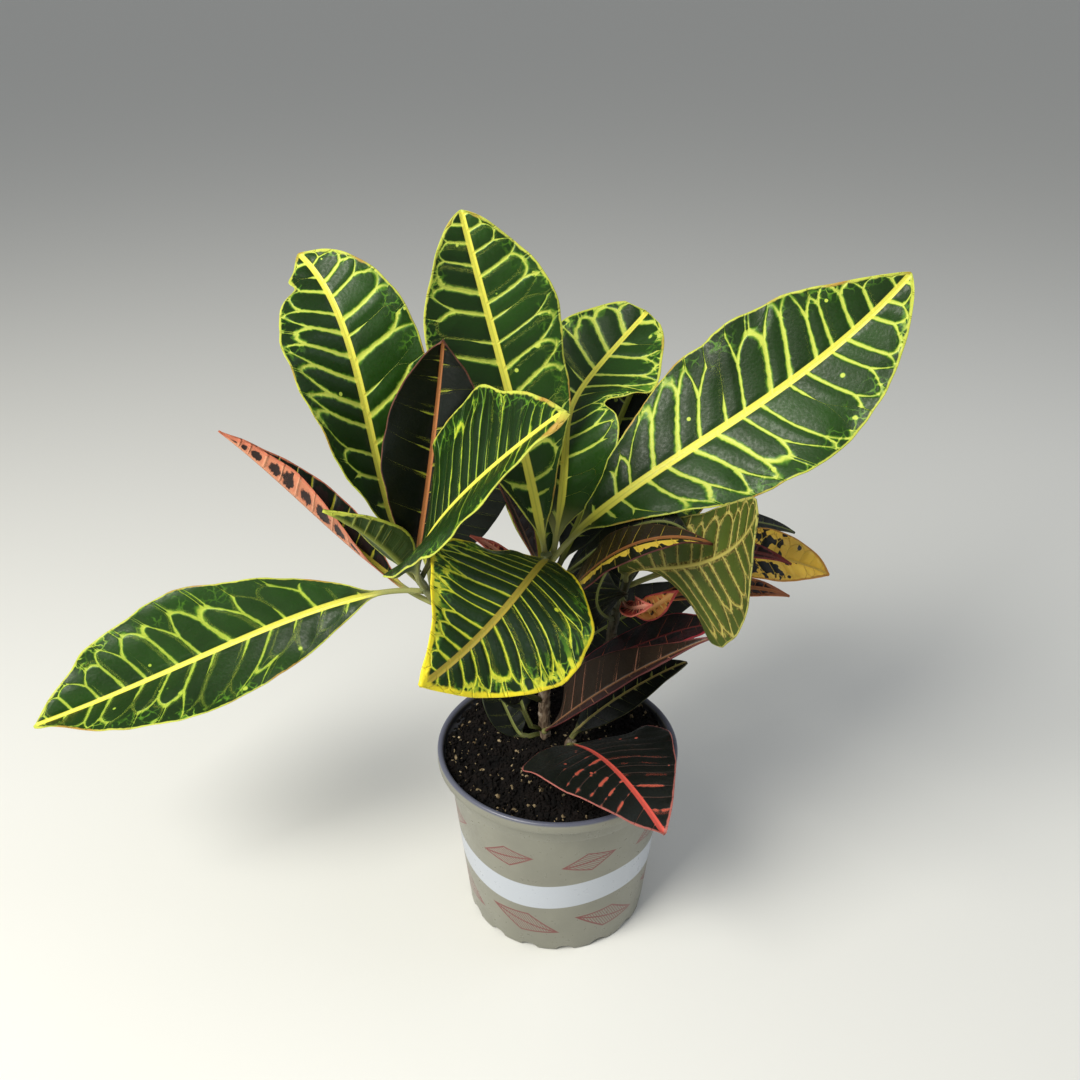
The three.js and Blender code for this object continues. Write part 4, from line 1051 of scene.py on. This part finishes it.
stem_tree, given, stem_out = new_tree("croton stem", "GeometryNodeTree", {
    "Path": "Geometry", "Radius": "Float", "Taper": "Float", "Scar spacing": "Float", "Seed": "Float",
    "Bark": "Material"}, {"Mesh": "Geometry"})
add = partial(node, stem_tree)
path = add("GeometryNodeMeshToCurve", given["Path"])
share = add("GeometryNodeSplineParameter")
thin = add(RANGE, share, THINS_FROM, 1.0, 1.0, given["Taper"])
girth = add("MULTIPLY", thin, given["Radius"])
fine_path = add("GeometryNodeResampleCurve", path, mode="LENGTH", named={"Length": RING_EVERY})
ring = add("GeometryNodeCurvePrimitiveCircle", named={"Resolution": STEM_SIDES, "Radius": 1.0})
tube = add("GeometryNodeCurveToMesh", fine_path, ring, girth, True)
bumpy = add(NOISE, noise_dimensions="4D", named={"W": given["Seed"], "Scale": BUMPS, "Detail": 3.0})
bumpy = add(RANGE, bumpy, NOISE_LOW, NOISE_HIGH, HOLLOW, SWELLING)
outward = add("GeometryNodeInputNormal")
outward = add(VECTOR, outward, named={"Scale": bumpy}, operation="SCALE")
tube = add("GeometryNodeSetPosition", named={"Geometry": tube, "Offset": outward})

scars_path = add("GeometryNodeCurveToPoints", path, mode="LENGTH",
                 named={"Length": given["Scar spacing"]}).node.outputs
scar = add("GeometryNodeMeshIcoSphere", named={"Radius": SCAR, "Subdivisions": 2})
spin = add("MULTIPLY", add("GeometryNodeInputIndex"), SCAR_TURN)
spin = add(COMBINE, 0.0, 0.0, spin)
facing = add("FunctionNodeRotateRotation", scars_path["Rotation"],
             add("FunctionNodeEulerToRotation", spin), rotation_space="LOCAL")
scar = add("GeometryNodeTransform", named={
    "Geometry": scar, "Translation": (SCAR_OUT, 0.0, 0.0), "Scale": (0.9, 2.0, 0.8)})
scars = add("GeometryNodeInstanceOnPoints", named={
    "Points": scars_path["Points"], "Instance": scar, "Rotation": facing})
whole = add("GeometryNodeJoinGeometry").node
stem_tree.links.new(tube, whole.inputs[0])
stem_tree.links.new(scars, whole.inputs[0])
whole = add("GeometryNodeRealizeInstances", whole.outputs[0])
whole = add("GeometryNodeSetShadeSmooth", named={"Geometry": whole})
whole = add("GeometryNodeSetMaterial", named={"Geometry": whole, "Material": given["Bark"]})
stem_tree.links.new(whole, stem_out["Mesh"])
print("stem tree:", len(stem_tree.nodes), "nodes")

# %% Growing the stems
SCAR_SPACING = 0.009               # metres
PATH_POINTS = 41
STEM_SEED_STEP = 3.1               # so that each stem has bumps of its own

stem_pieces = {}
for count, (name, stem) in enumerate(STEMS.items()):
    handles = [(*stem["foot"], SOIL_TOP + 1), *stem["bends"]]
    points = [(*stem["foot"], SOIL_TOP - STEM_DEPTH)]
    points += [bezier(handles, t) for t in np.linspace(0, 1, PATH_POINTS)]
    line = bpy.data.meshes.new("path of stem " + name)
    line.from_pydata([[float(c) * MM for c in p] for p in points],
                     [(i, i + 1) for i in range(len(points) - 1)], [])
    # The right stem takes the second bark, the one darkened as painted shade.
    stem_pieces[name] = run_tree(stem_tree, "croton_stem_" + name, {
        "Radius": stem["radius"] * MM, "Taper": STEM_TAPER, "Scar spacing": SCAR_SPACING,
        "Seed": count * STEM_SEED_STEP, "Bark": barks[name == "right"]}, source=line)
print({name: len(piece.data.polygons) for name, piece in stem_pieces.items()})

# %% [markdown]
# ## The grow pot
# The pot is thermoformed from thin sheet, so every edge is rounded and its foot is pinched into small
# arches that let water run off. It is turned from a profile, as it could be with a Spin, but here the
# rings are written straight away, so that the lowest ones can be lifted into those arches.

# %% Turning the pot
POT = dict(height=105, rim=65, drop=6.5, top=59.5, base=50, wall=1.3, channel=2.5, arches=16, lift=2.8)
POT_SIDES = 192
ARCH_HEIGHT = 4          # millimetres up to which the foot is lifted
FLOOR_FROM = 3.7         # from this height on the profile is the pot's inner floor, which stays level
ARCH_FROM = 44           # the foot ring starts at this radius


def wall_radius(height):
    """The outer radius of the pot's slanting wall."""
    return POT["base"] + (POT["top"] - POT["base"]) * height / (POT["height"] - POT["drop"])


def foot_lift(angle, radius, height):
    """How far the foot's arches lift a point of the profile."""
    if radius <= ARCH_FROM or height >= FLOOR_FROM:
        return 0
    arch = max(0, math.cos((angle * POT["arches"] / 2 / math.pi - 0.25) * 2 * math.pi)) ** 0.6
    return POT["lift"] * arch * max(0, 1 - height / ARCH_HEIGHT)


def lathe(name, profile, sides, lift=None, smooth=False):
    """A mesh turned from a profile of radii and heights in millimetres."""
    turned = bmesh.new()
    rings = []
    for radius, height in profile:
        ring = []
        for i in range(sides if radius else 1):
            angle = 2 * math.pi * i / sides
            top = height + (lift(angle, radius, height) if lift else 0)
            ring.append(turned.verts.new((radius * math.cos(angle) * MM, radius * math.sin(angle) * MM,
                                          top * MM)))
        rings.append(ring)
    for low, high in zip(rings, rings[1:]):
        for i in range(sides):
            j = (i + 1) % sides
            corners = [low[i % len(low)], low[j % len(low)], high[j % len(high)], high[i % len(high)]]
            turned.faces.new(list(dict.fromkeys(corners))).smooth = smooth
    bmesh.ops.recalc_face_normals(turned, faces=turned.faces)
    mesh = bpy.data.meshes.new(name)
    turned.to_mesh(mesh)
    return mesh


lip = POT["height"] - POT["drop"]
step = 88                # the wall steps out a little from this height up
channel, rim, wall = POT["channel"], POT["rim"], POT["wall"]
UNDERSIDE = [(0, 0.05), (12, 0.05), (20, 0.05), (20.6, 0.4), (21.6, 2.2), (22.2, channel), (30, channel),
             (42.6, channel), (43.2, 2.2), (44.2, 0.4), (44.9, 0), (48.4, 0), (49.4, 0.15)]
WALL = [(wall_radius(up) + out, up + more) for up, out, more in (
    (1.0, 0, -0.2), (2.0, 0, 0), (4.0, 0, 0), (20, 0, 0), (49, 0, 0), (step - 1, 0, 0), (step, 0.05, -0.2),
    (step, 0.3, 0.3), (lip, 0.1, -1), (lip, 0.3, -0.3))]
RIM = [(60.4, lip), (63.9, lip), (64.6, 98.6), (rim, 99.1), (rim, 103.2), (64.85, 104.1), (64.4, 104.7),
       (63.7, POT["height"]), (62.9, 104.9), (62.2, 104.4), (61.8, 103.6), (61.6, 102.4), (61.5, 101),
       (61.2, 100.2), (60.4, 99.8), (58.9, 99.6), (58.4, 99.2), (58.2, 98.4)]
INSIDE = [(wall_radius(up) - thick, up) for up, thick in (
    (step, wall), (50, wall), (6, wall), (4.2, 2.0), (3.8, 3.2))] + [(20, 3.8), (0, 3.8)]
turned_pot = lathe("turned pot", UNDERSIDE + WALL + RIM + INSIDE, POT_SIDES, lift=foot_lift, smooth=True)
print("pot:", len(turned_pot.polygons), "faces")

# %% Drain holes
HOLES, HOLE_RADIUS, HOLES_OUT = 8, 4, 32.5

punches = bmesh.new()
for i in range(HOLES):
    angle = 2 * math.pi * (i + 0.5) / HOLES
    made = bmesh.ops.create_cone(punches, segments=32, radius1=HOLE_RADIUS * MM, radius2=HOLE_RADIUS * MM,
                                 depth=0.02, cap_ends=True)["verts"]
    bmesh.ops.translate(punches, verts=made,
                        vec=(HOLES_OUT * math.cos(angle) * MM, HOLES_OUT * math.sin(angle) * MM, 0))
punch_mesh = bpy.data.meshes.new("punches")
punches.to_mesh(punch_mesh)
punch = new_object("punches", punch_mesh)
blank = new_object("blank", turned_pot)
cut = blank.modifiers.new("holes", "BOOLEAN")
cut.operation = "DIFFERENCE"
cut.solver = "EXACT"
cut.object = punch
graph = bpy.context.evaluated_depsgraph_get()
pot_piece = new_object("grow_pot", bpy.data.meshes.new_from_object(blank.evaluated_get(graph)))
bpy.data.objects.remove(blank)
bpy.data.objects.remove(punch)
print("pot with drain holes:", len(pot_piece.data.polygons), "faces")

# %% [markdown]
# The plastic is polypropylene: sage sheet with a satin gloss, and a blue-grey edge on top of the rim
# where the print ends. The printed decoration is this lesson's own: a pale band and rows of hatched
# lozenges in brick red, drawn from the angle round the pot and the height, as a printing roller would.
# Fine scuffs vary the gloss, and slow clouds in the sheet bend the highlights a little, which tells the
# eye that it is thin formed plastic and not glazed clay. Inside the rim, above the soil, the wall is
# painted dark as painted shade.

# %% Pot plastic
RIM_INSIDE = 61.6        # millimetres; nearer the middle than this, above the soil, the pot's inner wall is painted dark as painted shade
SOIL_EDGE_HEIGHT = 98.7  # from this height up
INK_FROM = 45.0          # nearer the middle than this, under the pot, there is no ink
RIM_EDGE = 103.2         # height from which the rim is blue-grey
BAND_LOW, BAND_TOP = 36.0, 53.6
BAND_WAVES, BAND_SWING = 3.0, 2.2     # the band rises and falls three times round the pot, in mm
SHARP = 0.4              # millimetres over which the band's ink ends
SHEET_CLOUDS = 40.0      # in a metre: 25 mm wide
SCUFFS = 350.0           # in a metre: 3 mm apart
HATCHES = 0.55           # stripes of a lozenge in a millimetre

plastic, pp = new_material("polypropylene, thermoformed and printed")
add = partial(node, pp)
place = add("ShaderNodeTexCoord").node.outputs["Object"]
x, y, z = add(SEPARATE, place).node.outputs
angle = add("ARCTAN2", y, x)
high = add("MULTIPLY", z, 1 / MM)
out = add(VECTOR, add(COMBINE, x, y), operation="LENGTH").node.outputs["Value"]
out = add("MULTIPLY", out, 1 / MM)
clouds = add(NOISE, named={"Vector": place, "Scale": SHEET_CLOUDS, "Detail": 4.0})
sage = add(MIX, add(RANGE, clouds, 0.35, 0.65), tint("7f7f73"), tint("87877a"), **COLOUR)

wave = add("SINE", add("MULTIPLY_ADD", angle, BAND_WAVES, 1.2))
level = add("MULTIPLY_ADD", wave, BAND_SWING, high)
low_edge = add(RANGE, level, BAND_LOW, BAND_LOW + SHARP)
top_edge = add(RANGE, level, BAND_TOP, BAND_TOP + SHARP, 1.0, 0.0)
band = add("MULTIPLY", low_edge, top_edge)


def lozenges(row_height, turned_by, tilt, long_half, short_half, number):
    """A row of hatched lozenges round the pot: how much of the ink covers a point."""
    cell = add("FRACT", add("MULTIPLY_ADD", angle, number / 2 / math.pi, turned_by))
    u = add("SUBTRACT", cell, 0.5)
    u = add("MULTIPLY", u, 2 * math.pi * wall_radius(row_height) / number)
    v = add("SUBTRACT", high, row_height)
    lengthwise = add("MULTIPLY_ADD", u, math.cos(tilt), add("MULTIPLY", v, math.sin(tilt)))
    crosswise = add("MULTIPLY_ADD", v, math.cos(tilt), add("MULTIPLY", u, -math.sin(tilt)))
    a = add("ABSOLUTE", add("DIVIDE", lengthwise, long_half))
    b = add("ABSOLUTE", add("DIVIDE", crosswise, short_half))
    size = add("ADD", a, b)
    rim_line = add("ABSOLUTE", add("SUBTRACT", size, 1.0))
    rim_line = add(RANGE, rim_line, 0.05, 0.09, 1.0, 0.0)
    stripe = add("MULTIPLY", add("ADD", lengthwise, crosswise), HATCHES)
    stripe = add("SUBTRACT", add("FRACT", stripe), 0.5)
    stripe = add(RANGE, add("ABSOLUTE", stripe), 0.1, 0.18, 1.0, 0.0)
    spine = add(RANGE, add("ABSOLUTE", crosswise), 0.35, 0.6, 1.0, 0.0)
    stripe = add("MAXIMUM", stripe, spine)
    stripe = add("MULTIPLY", stripe, add("LESS_THAN", size, 1.0))
    return add("MAXIMUM", rim_line, stripe)


upper_row = lozenges(row_height=70, turned_by=0.1, tilt=0.2, long_half=14.5, short_half=6.5, number=8)
lower_row = lozenges(row_height=21, turned_by=0.62, tilt=-0.3, long_half=19, short_half=7.5, number=7)
ink = add("MAXIMUM", upper_row, lower_row)
worn = add(RANGE, clouds, 0.3, 0.6, 0.8, 1.0)
for factor in (worn, add("GREATER_THAN", out, INK_FROM)):
    ink = add("MULTIPLY", ink, factor)
rim_part = add(RANGE, high, RIM_EDGE, RIM_EDGE + 1)
# The inner wall above the soil gets the dark colour 303236: painted shade.
painted_inner_shade = add(RANGE, out, RIM_INSIDE, RIM_INSIDE + 0.3, 1.0, 0.0)
painted_inner_shade = add("MULTIPLY", painted_inner_shade, add("GREATER_THAN", high, SOIL_EDGE_HEIGHT))
colour = sage
for mask, code in ((band, "bcc3cc"), (ink, "783a38"), (rim_part, "5c6070"), (painted_inner_shade, "303236")):
    colour = add(MIX, mask, colour, tint(code), **COLOUR)
scuffs = add(NOISE, named={"Vector": place, "Scale": SCUFFS, "Detail": 6.0})
rough = add(RANGE, scuffs, NOISE_LOW, NOISE_HIGH, 0.26, 0.4)
relief = add("ShaderNodeBump", named={"Height": clouds, "Strength": 0.35, "Distance": 0.001})
shader = add("ShaderNodeBsdfPrincipled", named={
    "Base Color": colour, "Roughness": rough, "Normal": relief, "IOR": 1.49})
add("ShaderNodeOutputMaterial", shader)
pot_piece.data.materials.clear()
pot_piece.data.materials.append(plastic)
print("pot plastic:", len(pp.nodes), "nodes")

# %% [markdown]
# ## Potting soil
# Potting soil is peat crumbs with pale grit and a few bits of bark. A bumpy picture on a flat disc looks
# painted, so the disc itself is only the bed, and Geometry Nodes heave it and scatter crumbs over it:
# dark peat, pale perlite of about 1 to 2.5 mm, and a few larger bark bits. Each crumb has a few dozen
# faces, because there are many hundreds. Damp peat swallows the light, so it is nearly black and has no
# gloss, and the pale grit in it is what shows that it is soil.

# %% Soil and grit materials
PEAT_GRAINS, GRIT_GRAINS = 900.0, 400.0   # in a metre: 1.1 mm and 2.5 mm wide

soil_looks = {}
for name, dark, pale, scale in (("peat, damp and loose", "020202", "17110e", PEAT_GRAINS),
                                ("perlite and bark grit", "5c4c34", "b5a582", GRIT_GRAINS)):
    soil_looks[name], earth = new_material(name)
    add = partial(node, earth)
    place = add("ShaderNodeTexCoord").node.outputs["Object"]
    grains = add(NOISE, named={"Vector": place, "Scale": scale, "Detail": 4.0})
    lumps = add(NOISE, named={"Vector": place, "Scale": scale / 6, "Detail": 3.0})
    mixed = add(RANGE, add("MULTIPLY", grains, lumps), 0.15, 0.4)
    colour = add(MIX, mixed, tint(dark), tint(pale), **COLOUR)
    relief = add("ShaderNodeBump", named={"Height": grains, "Strength": 0.8, "Distance": 0.0006})
    shader = add("ShaderNodeBsdfPrincipled", named={
        "Base Color": colour, "Roughness": 0.9, "Normal": relief, "IOR": 1.45, "Specular IOR Level": 0.25})
    add("ShaderNodeOutputMaterial", shader)
peat, grit = soil_looks.values()
print("soil finishes:", list(soil_looks))

# %% Soil bed
SOIL_SIDES = 96
SOIL_EDGE = 60.2         # millimetres, where the soil meets the rim
INTO_WALL = 1.7          # the bed fills the pot up to the middle of its wall
TOP_RINGS = 24
EDGE_HEIGHT = 99.9       # where the soil meets the rim
DIP, DIP_RINGS = 2.4, 8  # it drops so far within so many rings
DOME = 1.0               # and rises again to the middle

bed_profile = [(0, 4.2), (45, 4.2)]
bed_profile += [(wall_radius(up) - INTO_WALL, up + more) for up, more in ((5, 0), (92, 0), (96, 0.2))]
bed_profile += [(57.8, 98.0)]
bed_profile += [(SOIL_EDGE * (1 - i / TOP_RINGS),
                 EDGE_HEIGHT - DIP * math.sin(math.pi / 2 * min(1, i / DIP_RINGS))
                 + DOME * math.sin(math.pi / 2 * i / TOP_RINGS)) for i in range(TOP_RINGS + 1)]
bed_mesh = lathe("soil bed", bed_profile, SOIL_SIDES)
print("soil bed:", len(bed_mesh.polygons), "faces")

# %% Crumb tree
TOP_FROM, CRUMBS_FROM = 0.0965, 0.097     # metres up: only the soil's top is heaved and gets crumbs
CRUMB_LEAST, CRUMB_MOST = (0.6, 0.5, 0.4), (1.4, 1.1, 0.8)    # how far a crumb is squashed or drawn out
CROOKED, CROOKS = 0.0012, 600.0           # metres that a crumb's corners are moved, and how often
HUMPS = 75.0                              # in a metre: 13 mm wide
FULL_TURN = 6.28

crumb_tree, given, crumb_out = new_tree("crumbs", "GeometryNodeTree", {
    "Bed": "Geometry", "Per square metre": "Float", "Smallest": "Float", "Largest": "Float",
    "Keep bed": "Bool", "Heave": "Float", "Seed": "Int", "Finish": "Material"}, {"Mesh": "Geometry"})
add = partial(node, crumb_tree)
rise = add(SEPARATE, add("GeometryNodeInputPosition")).node.outputs["Z"]
lumpy = add(NOISE, named={"Scale": HUMPS, "Detail": 5.0, "Roughness": 0.7})
lumpy = add(RANGE, lumpy, NOISE_LOW, NOISE_HIGH, -1.0, 1.0)
for factor in (given["Heave"], add("GREATER_THAN", rise, TOP_FROM)):
    lumpy = add("MULTIPLY", lumpy, factor)
heaved = add("GeometryNodeSetPosition", named={
    "Geometry": given["Bed"], "Offset": add(COMBINE, 0.0, 0.0, lumpy)})
on_top = add("GREATER_THAN", rise, CRUMBS_FROM)
spots = add("GeometryNodeDistributePointsOnFaces", named={
    "Mesh": heaved, "Selection": on_top, "Density": given["Per square metre"], "Seed": given["Seed"]})
crumb = add("GeometryNodeMeshIcoSphere", named={"Radius": 1.0, "Subdivisions": 1})
size = add("FunctionNodeRandomValue", given["Smallest"], given["Largest"], data_type="FLOAT",
           named={"Seed": given["Seed"]})
shape = add("FunctionNodeRandomValue", CRUMB_LEAST, CRUMB_MOST, data_type="FLOAT_VECTOR")
shape = add(VECTOR, shape, named={"Scale": size}, operation="SCALE")
spin = add("FunctionNodeRandomValue", None, (FULL_TURN,) * 3, data_type="FLOAT_VECTOR")
crumbs = add("GeometryNodeInstanceOnPoints", named={
    "Points": spots, "Instance": crumb, "Scale": shape,
    "Rotation": add("FunctionNodeEulerToRotation", spin)})
crumbs = add("GeometryNodeRealizeInstances", crumbs)
crooked = add(NOISE, named={"Scale": CROOKS, "Detail": 1.0}).node.outputs["Color"]
crooked = add(VECTOR, crooked, (0.5, 0.5, 0.5), operation="SUBTRACT")
crooked = add(VECTOR, crooked, named={"Scale": CROOKED}, operation="SCALE")
crumbs = add("GeometryNodeSetPosition", named={"Geometry": crumbs, "Offset": crooked})
kept = add("GeometryNodeSwitch", input_type="GEOMETRY", named={"Switch": given["Keep bed"], "True": heaved})
whole = add("GeometryNodeJoinGeometry").node
crumb_tree.links.new(crumbs, whole.inputs[0])
crumb_tree.links.new(kept, whole.inputs[0])
whole = add("GeometryNodeRealizeInstances", whole.outputs[0])
whole = add("GeometryNodeSetMaterial", named={"Geometry": whole, "Material": given["Finish"]})
crumb_tree.links.new(whole, crumb_out["Mesh"])
print("crumb tree:", len(crumb_tree.nodes), "nodes")

# %% Scattering soil, grit and bark bits
HEAVE = 0.0022           # metres that the soil's top rises and falls, the same for all three

soil_piece, grit_piece, bark_piece = [
    run_tree(crumb_tree, name, {"Per square metre": density, "Smallest": smallest, "Largest": largest,
                                "Keep bed": name == "soil_bed", "Heave": HEAVE, "Seed": seed,
                                "Finish": finish}, source=bed_mesh)
    for name, density, smallest, largest, seed, finish in (
        ("soil_bed", 380000.0, 0.0006, 0.0019, 4, peat),
        ("soil_grit", 30000.0, 0.0003, 0.0014, 9, grit),
        ("soil_bark", 2600.0, 0.0012, 0.0022, 23, grit))]
print("soil:", len(soil_piece.data.polygons), "faces, grit:", len(grit_piece.data.polygons),
      "and bark bits:", len(bark_piece.data.polygons))

# %% [markdown]
# ## Floor and light
# The plant stands on a plain pale floor of matt paper, which throws soft light back under the leaves and
# shows no shine of its own. A large soft lamp from the upper left stands for the window, and a weaker one
# from the right opens the shadows. The view transform is Standard, because the filmic curve would dull
# the strong gold and green that make a croton.

# %% Floor and light
FLOOR_HALF = 30.0        # metres, so far out that its end stays above the picture
FLOOR_HEIGHT = -0.0002   # just below the pot, so that the two faces never flicker
WORLD_LIGHT = 0.32
AIM = Vector((0, 0, 0.15))
LAMPS = {"window": ((-0.75, -0.7, 1.15), 25, 0.75, "fffaf2"),    # place, watts, size in metres, colour
         "room": ((1.0, 0.1, 1.2), 3, 0.7, "eef2ff")}

floor_mesh = bpy.data.meshes.new("floor")
floor_mesh.from_pydata([(x * FLOOR_HALF, y * FLOOR_HALF, FLOOR_HEIGHT)
                        for x, y in ((-1, -1), (1, -1), (1, 1), (-1, 1))], [], [(0, 1, 2, 3)])
floor = new_object("floor", floor_mesh)
paper, sheet = new_material("pale matt paper")
shader = node(sheet, "ShaderNodeBsdfPrincipled", named={"Base Color": tint("e9ebe6"), "Roughness": 0.8})
node(sheet, "ShaderNodeOutputMaterial", shader)
floor_mesh.materials.append(paper)

world = bpy.data.worlds.new("soft room")
world.use_nodes = True
world.node_tree.nodes["Background"].inputs["Color"].default_value = tint("f2f3f6")
world.node_tree.nodes["Background"].inputs["Strength"].default_value = WORLD_LIGHT
bpy.context.scene.world = world
for name, (spot, power, size, colour) in LAMPS.items():
    lamp = bpy.data.lights.new(name, "AREA")
    lamp.energy = power
    lamp.size = size
    lamp.color = tint(colour)[:3]
    stand = new_object(name, lamp)
    stand.location = spot
    stand.rotation_euler = (AIM - Vector(spot)).to_track_quat("-Z", "Y").to_euler()
bpy.context.scene.view_settings.view_transform = "Standard"
print("two lamps")

# %% [markdown]
# ## Each piece in its node's place
# Each finished piece stands for a node of the solid model and rides on the one body.

# %% Each piece takes its node's place
SLOTS = {finish: "leaf_" + slot for slot, names in {
    "green": ("gold on green", "gold loops", "gold net", "golden blush", "fine gold"),
    "dark": ("ticked green", "orange on black", "gold on black", "near black", "coral on black"),
    "pink": ("salmon below",),
    "brown": ("thin brown", "arched brown", "orange end"),
    "olive": ("olive below",),
    "yellow": ("yellow and black",),
    "red": ("dark red", "young orange", "young red"),
    "purple": ("spotted purple", "plum")}.items() for finish in names}
for name, piece in leaf_pieces.items():
    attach(piece, "root")
    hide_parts("leaf_" + name)
for name, piece in stem_pieces.items():
    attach(piece, "root")
    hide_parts("stem_" + name)
for piece, slot_name in ((pot_piece, "pot_plastic"), (soil_piece, "soil"), (grit_piece, "soil"),
                         (bark_piece, "soil")):
    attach(piece, "root")
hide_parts("pot")
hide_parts("soil")
